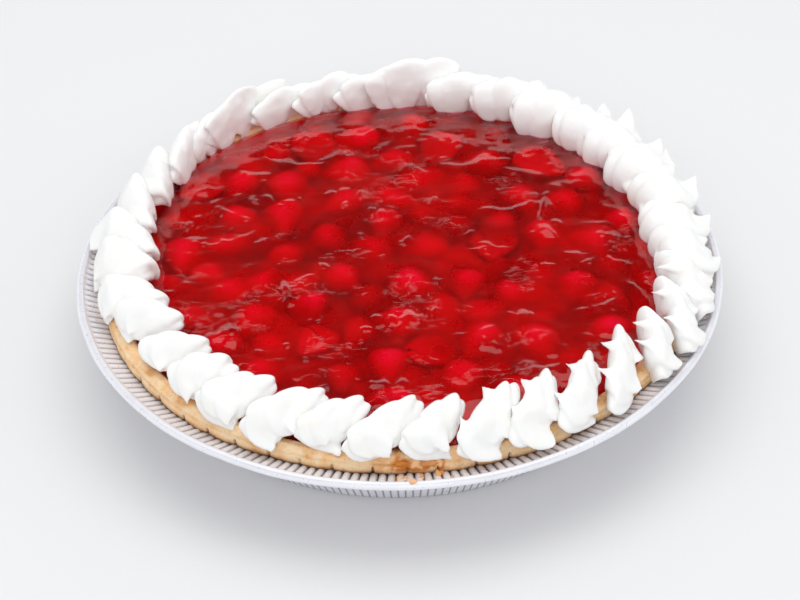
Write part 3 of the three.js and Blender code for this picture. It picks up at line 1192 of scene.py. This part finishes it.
    def build_gel(self) -> bpy.types.Object:
        """Returns the gel, a closed body from inside the core up to its wet top."""
        edge, floor = self.gel_edge, self.gel_floor
        radii = [edge * i / self.rings for i in range(self.rings, -1, -1)]
        outline = [(0.0, floor), (60.0, floor), (104.2, floor)]
        outline += [(radius, height_on(self.edge_heights, radius)) for radius in radii]
        bm = turned(outline, self.sectors, self.steps_per_sector)
        is_top = floor + 4.0

        def wet(point: Vector) -> Vector:
            """Lifts a point of the top to the wet surface."""
            if point.z < is_top:
                return point
            return Vector((point.x, point.y, self.surface(point.x, point.y)))

        bend_all(bm, wet)
        return finished_piece(bm, "filling_gel", [GelFinish().material()], [self.node])

    def build_core(self) -> bpy.types.Object:
        """Returns the core under the berries."""
        low, top = 6.0, self.core_top
        outline = line((0.0, low), (88.6, low), 6) + line((88.6, low), (104.6, top), 6)
        outline += line((104.6, top), (0.0, top), 60) + [(0.0, top)]
        bm = turned(outline, self.sectors, 4)

        def lumpy(point: Vector) -> Vector:
            """Lifts a point of the core's top into soft mounds."""
            if point.z < top - 0.01:
                return point
            inward = 1.0 - smooth_step(98.0, 104.0, math.hypot(point.x, point.y))
            return Vector((point.x, point.y, top + inward * (0.8 + 2.0 * rough(point.x, point.y, 0.0, 13.0))))

        bend_all(bm, lumpy)
        return finished_piece(bm, "filling_core", [CoreFinish().material()], [self.node])

    @staticmethod
    def berry_shape(point: Vector, ratio: float) -> Vector:
        """Returns a point of the unit ball drawn out into a strawberry with its tip at -Z.

        Args:
            point: The point of the ball.
            ratio: Length of the berry over its width.

        Returns:
            The point of a berry that is two units wide.
        """
        fullness = mix(0.66, 1.0, smooth_step(-1.0, 0.35, point.z))
        hollow = 0.16 * smooth_step(0.75, 1.0, point.z)
        lump = 1.0 + 0.07 * rough(point.x * 3.0, point.y * 3.0, point.z * 3.0, 3.0)
        x, y = point.x * fullness * lump, point.y * fullness * lump
        return Vector((x, y, point.z * ratio * (1.0 - hollow)))

    def build_berries(self, name: str, berries: Iterable[Berry]) -> bpy.types.Object:
        """Returns some of the berries as one piece.

        Args:
            name: Name of the piece.
            berries: Which berries to make.

        Returns:
            The finished piece.
        """
        whole = bmesh.new()
        draw = random.Random(SHAPE_SEED + 2)
        for berry in berries:
            one = bmesh.new()
            bmesh.ops.create_icosphere(one, subdivisions=3 if berry.cut is Cut.WHOLE else 4, radius=1.0)
            shift = Vector((draw.uniform(0, 40), draw.uniform(0, 40), draw.uniform(0, 40)))
            for vert in one.verts:
                coarse, fine = noise.noise(vert.co * 1.1 + shift), noise.noise(vert.co * 2.6 + shift)
                lump = 1.0 + 0.17 * coarse + 0.05 * fine
                vert.co = self.berry_shape(vert.co, berry.length / berry.width) * lump * (berry.width / 2.0)
            if berry.cut is Cut.HALVED:
                self.halve(one)
            tilt = Matrix.Rotation(math.radians(90.0 + draw.uniform(-14.0, 14.0)), 4, "Y")
            turn = Matrix.Rotation(math.radians(berry.heading), 4, "Z")
            bmesh.ops.transform(one, matrix=turn @ tilt, verts=one.verts)
            top = self.surface(berry.x, berry.y) - 0.9 * berry.sunk - (1.5 if berry.cut is Cut.WHOLE else 3.2)
            highest = max(vert.co.z for vert in one.verts)
            bmesh.ops.translate(one, vec=Vector((berry.x, berry.y, top - highest)), verts=one.verts)
            bend_all(one, self.held_in)
            join(whole, one)
        materials = [BerryFinish().material(), CutBerryFinish().material()]
        return finished_piece(whole, name, materials, [self.node])

    def held_in(self, point: Vector) -> Vector:
        """Presses a berry back inside the crust's sloping wall, where it would stick out.

        Args:
            point: A point of the berry.

        Returns:
            Its new place.
        """
        room = self.wall_foot + self.wall_slope * point.z
        squeeze = min(1.0, room / max(1.0, math.hypot(point.x, point.y)))
        return Vector((point.x * squeeze, point.y * squeeze, point.z))

    @staticmethod
    def halve(bm: bmesh.types.BMesh) -> None:
        """Cuts a berry beside its axis, and keeps the half whose cut face will look up.

        Args:
            bm: The berry.
        """
        geometry = list(bm.verts) + list(bm.edges) + list(bm.faces)
        bmesh.ops.bisect_plane(
            bm, geom=geometry, plane_co=(-1.2, 0, 0), plane_no=(-1, 0, 0), clear_outer=True, clear_inner=False
        )
        rim = [edge for edge in bm.edges if edge.is_boundary]
        made = bmesh.ops.contextual_create(bm, geom=rim)
        for face in made["faces"]:
            face.material_index = 1
        inset = bmesh.ops.inset_region(
            bm, faces=made["faces"], thickness=2.6, depth=0.9, use_even_offset=True
        )
        for face in inset["faces"]:
            face.material_index = 1

    def build(self) -> list[bpy.types.Object]:
        """Returns every piece of the filling."""
        pieces = [self.build_core(), self.build_gel()]
        for cut in Cut:
            chosen = [berry for berry in self.berries if berry.cut is cut]
            pieces.append(self.build_berries(f"strawberries_{cut.value}", chosen))
        return pieces + [self.build_berries("strawberries_deep", self.deep_berries)]


# ---- Whipped cream ----


@dataclass(frozen=True)
class Piping:
    """How the cream was piped at one side of the pie. Millimetres and degrees."""

    side_deg: float
    reach_in: float
    reach_out: float
    height: float
    fullness: float
    lean_deg: float
    knob: float
    tail: float
    peak: float
    relief: float
    twist: float
    lift: float
    point: float


@dataclass(frozen=True)
class Stroke:
    """One piped shell's path, from its head over the gel to its tail on the crust. Millimetres, radians."""

    middle: float
    reach: float
    length: float
    lean: float
    half_width: float
    half_height: float
    lift: float
    tail_width: float
    tail_height: float

    def body(self, share: float) -> tuple[float, float]:
        """Works out how thick the stroke is.

        Args:
            share: How far along the stroke.

        Returns:
            Half of its width and half of its height there.
        """
        thin = mix(0.90, 1.0, smooth_step(-0.1, 0.28, share))
        thin *= mix(1.0, self.tail_width, smooth_step(0.40, 1.1, share))
        low = mix(0.86, 1.0, smooth_step(-0.1, 0.25, share))
        low *= mix(1.0, self.tail_height, smooth_step(0.36, 1.1, share))
        return self.half_width * thin, self.half_height * low

    def place(self, share: float, aside: float) -> tuple[float, float]:
        """Returns the radius and the angle of a point of the stroke.

        Args:
            share: How far along the stroke it is.
            aside: How far it is to the stroke's left, seen from the head.

        Returns:
            Radius and angle round the ring.
        """
        along = (share - 0.5) * self.length
        radius = self.reach + along * math.cos(self.lean) - aside * math.sin(self.lean)
        return radius, self.middle + (along * math.sin(self.lean) + aside * math.cos(self.lean)) / radius


class HeadEnd(Enum):
    """How a ridge ends over the gel."""

    FOLDED = "folded down to the gel"
    KNOB = "straight, with a round end"
    PEAK = "straight, with a pulled-off point"


@dataclass(frozen=True)
class Ridge:
    """One soft ridge of a shell: where it starts and ends on the stroke, and where it lies round it."""

    start: float
    end: float
    round_start: float
    round_end: float
    size: float
    offset: float
    fade: float = 0.6
    bulge: float = 1.0
    bluntness: float = 2.6
    end_kind: HeadEnd = HeadEnd.FOLDED


@dataclass
class CreamRing:
    """The ring of piped shells, each a bundle of soft ridges that crosses the ring outwards. Millimetres."""

    shells: int = 36
    middle_x: float = 2.2
    ridges: int = 5
    ridge_size: float = 0.39
    spread_deg: float = 215.0
    fold_from: float = 0.42
    overlap: float = 3.4
    embed: float = 1.0
    voxel: float = 0.55
    smoothing: int = 3
    lift_from: float = 0.55
    hanging_ridge: int = 1
    hanging_bulge: float = 0.10

    # How uneven the strokes and their ridges are.
    place_jitter: float = 0.09
    lean_jitter_deg: float = 5.0
    reach_jitter: float = 0.8
    width_range: Point2 = (0.90, 1.15)
    height_range: Point2 = (0.92, 1.10)
    lift_range: Point2 = (0.7, 1.2)
    phase_jitter: float = 0.3
    side_jitter: float = 0.15
    twist_range: Point2 = (0.7, 1.3)
    size_range: Point2 = (0.88, 1.15)
    start_range: Point2 = (-0.10, 0.03)
    short_end_range: Point2 = (0.84, 0.93)
    long_end: float = 0.97
    fade_range: Point2 = (0.45, 0.75)
    bluntness_range: Point2 = (2.6, 1.2)

    # The extra ridges of shells that have them: where they lie round the stroke, and their shapes along it.
    peak_sides: Point2 = (-0.85, 0.4)
    peak_end: float = 0.6
    peak_size: float = 0.23
    peak_offset: float = 0.70
    tooth_sides: Point2 = (-1.1, 1.0)
    tooth_start: float = 0.3
    tooth_length_range: Point2 = (1.5, 4.0)
    tooth_size_range: Point2 = (0.38, 0.50)
    tooth_offset: float = 0.6
    knob_end: float = 0.7
    knob_size: float = 0.42
    knob_offset: float = 0.36

    # What the cream lies on, as radius and height: gel, then crust, then the drop past the crust's edge.
    BED = ((90.0, 39.6), (104.0, 38.0), (108.5, 37.2), (113.5, 37.2), (116.5, 34.5), (121.0, 32.8))

    # Read round the pie, from the right-hand side on past the back.
    SIDES = (
        Piping(0.0, 98.0, 118.5, 15.0, 1.32, 45.0, 3.0, 4.0, 0.0, 0.20, 1.0, 3.0, 0.4),
        Piping(20.0, 97.0, 118.5, 15.0, 1.32, 43.0, 3.0, 6.0, 0.0, 0.20, 1.0, 7.0, 0.3),
        Piping(35.0, 96.0, 118.5, 15.5, 1.32, 42.0, 2.2, 7.0, 0.0, 0.20, 0.9, 8.0, 0.3),
        Piping(55.0, 97.0, 118.5, 16.5, 1.28, 36.0, 1.5, 7.0, 0.0, 0.18, 0.8, 8.0, 0.3),
        Piping(65.0, 99.5, 118.0, 17.0, 1.35, 30.0, 1.5, 4.0, 0.0, 0.14, 0.6, 5.0, 0.3),
        Piping(75.0, 101.5, 118.0, 17.5, 1.4, 24.0, 1.2, 2.0, 0.0, 0.12, 0.5, 2.0, 0.3),
        Piping(85.0, 104.0, 119.5, 22.5, 2.1, 14.0, 1.0, 1.0, 0.0, 0.06, 0.4, 0.0, 0.2),
        Piping(95.0, 105.0, 118.5, 17.0, 1.5, 16.0, 1.0, 1.0, 0.0, 0.08, 0.5, 0.0, 0.2),
        Piping(105.0, 105.0, 118.0, 17.5, 1.5, 20.0, 1.0, 1.0, 0.0, 0.08, 0.5, 0.0, 0.2),
        Piping(115.0, 108.0, 118.5, 15.5, 1.4, 16.0, 1.0, 1.0, 0.0, 0.08, 0.5, 0.0, 0.2),
        Piping(125.0, 110.0, 120.5, 22.5, 2.35, 10.0, 1.0, 1.0, 0.0, 0.06, 0.4, 0.0, 0.2),
        Piping(135.0, 108.0, 119.0, 16.5, 1.5, 22.0, 1.0, 1.0, 0.0, 0.08, 0.5, 0.0, 0.2),
        Piping(145.0, 104.5, 119.0, 18.5, 1.6, 26.0, 1.0, 1.0, 0.0, 0.08, 0.6, 0.0, 0.2),
        Piping(165.0, 104.0, 118.5, 16.5, 1.6, 35.0, 0.8, 1.0, 0.0, 0.09, 0.8, 0.0, 0.2),
        Piping(180.0, 101.5, 119.0, 15.5, 1.6, 40.0, 0.8, 1.0, 0.0, 0.10, 0.9, 0.0, 0.2),
        Piping(195.0, 100.5, 115.5, 15.0, 1.55, 45.0, 0.6, 1.2, 0.0, 0.12, 1.0, 0.0, 0.3),
        Piping(205.0, 100.5, 112.5, 15.0, 1.45, 47.0, 0.6, 2.0, 0.0, 0.14, 1.1, 0.0, 0.4),
        Piping(215.0, 101.0, 111.5, 15.0, 1.42, 48.0, 0.6, 2.5, 0.0, 0.15, 1.2, 0.0, 0.5),
        Piping(235.0, 100.0, 113.0, 14.5, 1.48, 46.0, 0.8, 3.0, 0.0, 0.17, 1.3, 0.0, 0.45),
        Piping(250.0, 101.0, 113.0, 14.5, 1.52, 44.0, 0.8, 3.5, 0.0, 0.17, 1.3, 0.0, 0.45),
        Piping(270.0, 101.0, 112.5, 14.5, 1.58, 42.0, 1.0, 3.5, 0.0, 0.17, 1.3, 0.0, 0.42),
        Piping(285.0, 101.5, 113.5, 14.5, 1.62, 41.0, 1.0, 3.5, 2.5, 0.17, 1.2, 0.0, 0.42),
        Piping(300.0, 103.0, 114.0, 14.5, 1.64, 40.0, 1.2, 3.5, 3.2, 0.18, 1.2, 0.0, 0.42),
        Piping(325.0, 106.5, 116.0, 14.5, 1.66, 43.0, 1.5, 2.5, 3.6, 0.19, 1.1, 1.0, 0.42),
        Piping(345.0, 104.5, 118.0, 15.0, 1.5, 44.0, 2.4, 3.0, 2.6, 0.20, 1.1, 2.0, 0.42),
        Piping(360.0, 98.0, 118.5, 15.0, 1.32, 45.0, 3.0, 4.0, 0.0, 0.20, 1.0, 3.0, 0.4),
    )

    def piping_at(self, angle_deg: float) -> Piping:
        """Works out how the cream was piped between the two nearest sides.

        Args:
            angle_deg: The angle round the pie.

        Returns:
            The piping there.
        """
        angle = angle_deg % 360.0
        after = next(i for i, side in enumerate(self.SIDES) if i > 0 and side.side_deg >= angle)
        low, high = self.SIDES[after - 1], self.SIDES[after]
        share = (angle - low.side_deg) / (high.side_deg - low.side_deg)
        return Piping(*(mix(a, b, share) for a, b in zip(astuple(low), astuple(high))))

    def stroke_for(self, index: int, draw: random.Random) -> tuple[Stroke, Piping]:
        """Returns the path of one shell, and how it was piped.

        Args:
            index: Its place in the ring.
            draw: Where its unevenness comes from.

        Returns:
            The stroke and the piping.
        """
        pitch = TURN / self.shells
        middle = pitch * (index + 0.5) + pitch * draw.uniform(-self.place_jitter, self.place_jitter)
        piping = self.piping_at(math.degrees(middle))
        lean = math.radians(piping.lean_deg + draw.uniform(-self.lean_jitter_deg, self.lean_jitter_deg))
        reach = 0.5 * (piping.reach_in + piping.reach_out)
        reach += draw.uniform(-self.reach_jitter, self.reach_jitter)
        half_pitch = 0.5 * pitch * reach * math.cos(lean) + self.overlap
        half_width = half_pitch * piping.fullness * draw.uniform(*self.width_range)
        length = (piping.reach_out - piping.reach_in) / math.cos(lean)
        half_height = 0.5 * (piping.height + self.embed) * draw.uniform(*self.height_range)
        lift = piping.lift * draw.uniform(*self.lift_range)
        tail = mix(0.88, 0.42, piping.point), mix(0.48, 0.82, min(1.0, piping.lift / 6.0))
        return Stroke(middle, reach, length, lean, half_width, half_height, lift, *tail), piping

    def ridges_for(self, stroke: Stroke, piping: Piping, draw: random.Random) -> list[Ridge]:
        """Draws the ridges of one shell.

        Args:
            stroke: Its path.
            piping: How it was piped.
            draw: Where its unevenness comes from.

        Returns:
            The ridges, with the plain core that fills the middle of the bundle first.
        """
        found = [Ridge(-0.04, 0.95, 0.0, 0.0, 1.0 - piping.relief, 0.0)]
        spacing = math.radians(self.spread_deg) / (self.ridges - 1)
        phase = draw.uniform(-self.phase_jitter, self.phase_jitter) * spacing
        first = draw.choice((0, 1, 2))
        for k in range(self.ridges):
            angle = (k - 0.5 * (self.ridges - 1)) * spacing + phase
            angle += draw.uniform(-self.side_jitter, self.side_jitter)
            twist = piping.twist * draw.uniform(*self.twist_range)
            if k in (first, first + 2):
                end = self.long_end + piping.tail * draw.uniform(0.1, 1.0) / stroke.length
            else:
                end = draw.uniform(*self.short_end_range)
            size = self.ridge_size * draw.uniform(*self.size_range)
            fade, bulge = draw.uniform(*self.fade_range), 1.0 + 0.06 * piping.knob * draw.uniform(-1.0, 1.0)
            bulge += self.hanging_bulge if k == self.hanging_ridge else 0.0
            round_start, round_end = angle + 0.45 * twist, angle - 0.55 * twist
            start, bluntness = draw.uniform(*self.start_range), mix(*self.bluntness_range, piping.point)
            found.append(Ridge(start, end, round_start, round_end, size, 1.0 - size, fade, bulge, bluntness))
        if piping.peak > 1.0:
            found += [self.peak(stroke, piping, side, draw) for side in self.peak_sides]
        if piping.lift > 3.0:
            found += [self.tooth(stroke, side, draw) for side in self.tooth_sides]
        if piping.knob > 2.5:
            start = -piping.knob * draw.uniform(0.3, 0.9) / stroke.length
            under = math.pi + draw.uniform(-0.6, 0.6)
            shape = (start, self.knob_end, under, under, self.knob_size, self.knob_offset)
            found.append(Ridge(*shape, end_kind=HeadEnd.KNOB))
        return found

    def peak(self, stroke: Stroke, piping: Piping, side: float, draw: random.Random) -> Ridge:
        """Draws one pulled-off point over the gel.

        Args:
            stroke: The path of its shell.
            piping: How the shell was piped.
            side: Where it lies round the stroke.
            draw: Where its unevenness comes from.

        Returns:
            The ridge that ends in the point.
        """
        start = -(0.4 + piping.peak * draw.uniform(0.4, 0.9)) / stroke.length
        aside = side + draw.uniform(-0.25, 0.25)
        shape = (start, self.peak_end, aside, aside - 0.3, self.peak_size, self.peak_offset)
        return Ridge(*shape, end_kind=HeadEnd.PEAK)

    def tooth(self, stroke: Stroke, side: float, draw: random.Random) -> Ridge:
        """Draws one cone that stands out of the lifted tail.

        Args:
            stroke: The path of its shell.
            side: Where it lies round the stroke.
            draw: Where its unevenness comes from.

        Returns:
            The ridge that ends in the cone.
        """
        start = self.tooth_start
        end = 1.0 + draw.uniform(*self.tooth_length_range) / stroke.length
        size = draw.uniform(*self.tooth_size_range)
        cone = 2.2 * size * stroke.half_width * stroke.tail_width / (stroke.length * (end - start))
        return Ridge(start, end, side + 0.3, side, size, self.tooth_offset, 1.0 - cone, bluntness=1.0)

    def ridge_mesh(self, stroke: Stroke, ridge: Ridge) -> bmesh.types.BMesh:
        """Makes one ridge, a closed tube with a round head and a pointed tail.

        Args:
            stroke: The path of its shell.
            ridge: Where it lies on the path.

        Returns:
            Its mesh.
        """
        head = 0.9 * ridge.size * stroke.half_width / (stroke.length * (ridge.end - ridge.start))
        fold_reach = self.fold_from * stroke.length / (2.0 * stroke.half_height)

        def piped(unit: Vector) -> Vector:
            """Draws a point of the unit ball out along the stroke, whose head folds down to the gel."""
            along = 0.5 - 0.5 * unit.z
            around = math.atan2(unit.y, unit.x)
            round_head = math.sqrt(1.0 - (1.0 - min(1.0, along / head)) ** 2)
            if ridge.end_kind is HeadEnd.PEAK:
                round_head = min(1.0, along / (2.4 * head)) ** 0.9
            taper = 1.0 - 0.999 * max(0.0, (along - ridge.fade) / (1.0 - ridge.fade)) ** ridge.bluntness
            thick = ridge.size * round_head * taper
            share = mix(ridge.start, ridge.end, along)
            wide, high = stroke.body(share)
            turn = mix(ridge.round_start, ridge.round_end, smooth_step(-0.1, 1.1, share))
            aside = wide * (ridge.offset * math.sin(turn) + thick * math.cos(around))
            above = high * (1.0 + ridge.offset * math.cos(turn) + thick * math.sin(around))
            if ridge.end_kind is HeadEnd.FOLDED and share < self.fold_from:
                fold = 0.5 * math.pi * (1.0 - share / self.fold_from)
                share = self.fold_from - fold_reach * ridge.bulge * above * math.sin(fold) / stroke.length
                above *= math.cos(fold)
            if ridge.end_kind is HeadEnd.PEAK:
                # A peak points at the middle of the pie, whatever way its shell leans.
                aside -= 0.9 * min(0.0, share - 0.2) * stroke.length * math.tan(stroke.lean)
            above += stroke.lift * smooth_step(self.lift_from, 1.25, share) * (0.55 + 0.45 * math.cos(turn))
            radius, angle = stroke.place(share, aside)
            x, y = radius * math.cos(angle) + self.middle_x, radius * math.sin(angle)
            return Vector((x, y, height_on(self.BED, math.hypot(x, y)) - self.embed + above))

        bm = bmesh.new()
        bmesh.ops.create_uvsphere(bm, u_segments=24, v_segments=32, radius=1.0)
        bend_all(bm, piped)
        bmesh.ops.recalc_face_normals(bm, faces=bm.faces)
        return bm

    def melt(self, bm: bmesh.types.BMesh) -> bmesh.types.BMesh:
        """Returns overlapping ridges as one skin, with their edges softened.

        Args:
            bm: The ridges, which are freed.

        Returns:
            The skin.
        """
        mesh = bpy.data.meshes.new("ridges")
        bm.to_mesh(mesh)
        bm.free()
        holder = placed("ridges", mesh)
        skin = holder.modifiers.new("skin", "REMESH")
        skin.mode = "VOXEL"
        skin.voxel_size = self.voxel
        skinned = holder.evaluated_get(bpy.context.evaluated_depsgraph_get())
        melted = bmesh.new()
        melted.from_mesh(skinned.to_mesh())
        skinned.to_mesh_clear()
        bpy.data.objects.remove(holder)
        bpy.data.meshes.remove(mesh)
        for _ in range(self.smoothing):
            bmesh.ops.smooth_vert(
                melted, verts=melted.verts, factor=0.5, use_axis_x=True, use_axis_y=True, use_axis_z=True
            )
        return melted

    def build_shell(self, index: int) -> bpy.types.Object:
        """Returns one piped shell.

        Args:
            index: Its place in the ring, from 0, counted from the right-hand side past the back.

        Returns:
            The finished piece.
        """
        draw = random.Random(SHAPE_SEED * 1000 + index)
        stroke, piping = self.stroke_for(index, draw)
        bundle = bmesh.new()
        for ridge in self.ridges_for(stroke, piping, draw):
            join(bundle, self.ridge_mesh(stroke, ridge))
        skin = self.melt(bundle)
        shift = Vector((draw.uniform(0, 90), draw.uniform(0, 90), 0.0))
        for vert in skin.verts:
            wobble = rough(vert.co.x + shift.x, vert.co.y + shift.y, vert.co.z, 8.0, 2)
            vert.co += Vector((0.35 * wobble, -0.35 * wobble, 0.35 * wobble))
        name = f"{index + 1:02d}"
        finish = CreamFinish().material()
        return finished_piece(skin, f"piped_shell_{name}", [finish], [f"cream_shell_{name}"])

    def build(self) -> list[bpy.types.Object]:
        """Returns every shell of the ring."""
        return [self.build_shell(index) for index in range(self.shells)]


# ---- Studio ----


@dataclass
class Studio:
    """A pale floor, soft light all round, and the photographer's camera. Metres and degrees."""

    floor_size: float = 6.0
    camera_distance: float = 0.8
    camera_height_angle: float = 37.943
    aim_height: float = 0.034
    pitch: float = -1.0438
    roll: float = 1.6999
    lens: float = 91.72
    sensor: float = 36.0
    backdrop: Colour = (0.85, 0.85, 0.85)
    room: Colour = (0.74, 0.745, 0.755)
    mirrored_band: Colour = (0.95, 0.95, 0.97)
    mirrored_dark: Colour = (0.006, 0.006, 0.007)
    band_end: Point2 = (0.355, 0.40)
    look_at: float = 0.03

    # Each soft box: its name, middle, width, other side and watts.
    SOFT_BOXES = (
        ("top_box", (0.0, 0.16, 1.05), 1.2, 0.8, 4.5),
        ("left_box", (-1.1, -0.35, 0.75), 0.5, 0.6, 0.6),
        ("right_box", (1.1, -0.35, 0.75), 0.5, 0.6, 1.0),
        ("front_box", (0.0, -1.2, 0.8), 0.7, 0.4, 2.6),
    )

    def build_floor(self) -> None:
        """Lays the floor under the pie."""
        bm = bmesh.new()
        bmesh.ops.create_grid(bm, x_segments=2, y_segments=2, size=self.floor_size / 2.0)
        mesh = bpy.data.meshes.new("studio_floor")
        bm.to_mesh(mesh)
        bm.free()
        mesh.materials.append(FloorFinish().material())
        placed("studio_floor", mesh)

    def build_camera(self) -> None:
        """Sets up the camera from where the tin's rim says that the photographer stood."""
        rise = math.radians(self.camera_height_angle)
        place = Vector((0.0, -math.cos(rise), math.sin(rise))) * self.camera_distance
        place.z += self.aim_height
        ahead = (Vector((0.0, 0.0, self.aim_height)) - place).normalized()
        right = Vector((1.0, 0.0, 0.0))
        ahead = Matrix.Rotation(math.radians(self.pitch), 3, right) @ ahead
        right = Matrix.Rotation(math.radians(self.roll), 3, ahead) @ right
        up = right.cross(ahead)
        data = bpy.data.cameras.new("photographer")
        data.lens = self.lens
        data.sensor_width = self.sensor
        camera = placed("photographer", data)
        columns = Matrix((right, up, -ahead)).transposed().to_4x4()
        camera.matrix_world = Matrix.Translation(place) @ columns
        bpy.context.scene.camera = camera

    def soft_box(self, name: str, place: Vector, width: float, depth: float, power: float) -> None:
        """Hangs one soft box that looks at the pie.

        Args:
            name: Its name.
            place: Its middle.
            width: Its width.
            depth: Its other side.
            power: Its power in watts.
        """
        data = bpy.data.lights.new(name, "AREA")
        data.shape = "RECTANGLE"
        data.size = width
        data.size_y = depth
        data.energy = power
        lamp = placed(name, data)
        lamp.location = place
        lamp.rotation_euler = (Vector((0.0, 0.0, self.look_at)) - place).to_track_quat("-Z", "Y").to_euler()

    def build_light(self) -> None:
        """Hangs the lights and sets the room, which is dark where the gel mirrors it."""
        for name, place, *facts in self.SOFT_BOXES:
            self.soft_box(name, Vector(place), *facts)
        world = bpy.data.worlds.new("studio_room")
        world.use_nodes = True
        bpy.context.scene.world = world
        wiring = Wiring(world.node_tree)
        path = wiring.add("ShaderNodeLightPath")
        way = wiring.add("ShaderNodeTexCoord").outputs["Generated"]
        height = wiring.add("ShaderNodeSeparateXYZ", Vector=way).outputs["Z"]
        high = wiring.between(height, *self.band_end)
        mirrored = wiring.blend(high, self.mirrored_band, self.mirrored_dark)
        room = wiring.blend(path.outputs["Is Glossy Ray"], self.room, mirrored)
        room = wiring.blend(path.outputs["Is Camera Ray"], room, self.backdrop)
        background = wiring.add("ShaderNodeBackground", Color=room, Strength=1.0)
        wiring.add("ShaderNodeOutputWorld", Surface=background.outputs[0])
        bpy.context.scene.view_settings.view_transform = "Standard"

    def build(self) -> None:
        """Sets up the whole studio."""
        self.build_camera()
        self.build_floor()
        self.build_light()


def main() -> None:
    """Builds the studio and every piece of the pie."""
    logging.basicConfig(level=logging.INFO, format="%(name)s %(message)s")
    Studio().build()
    FoilTin().build()
    Crust().build()
    Spills().build()
    Filling().build()
    CreamRing().build()
    log.info("all pieces built")


if __name__ == "__main__":
    main()
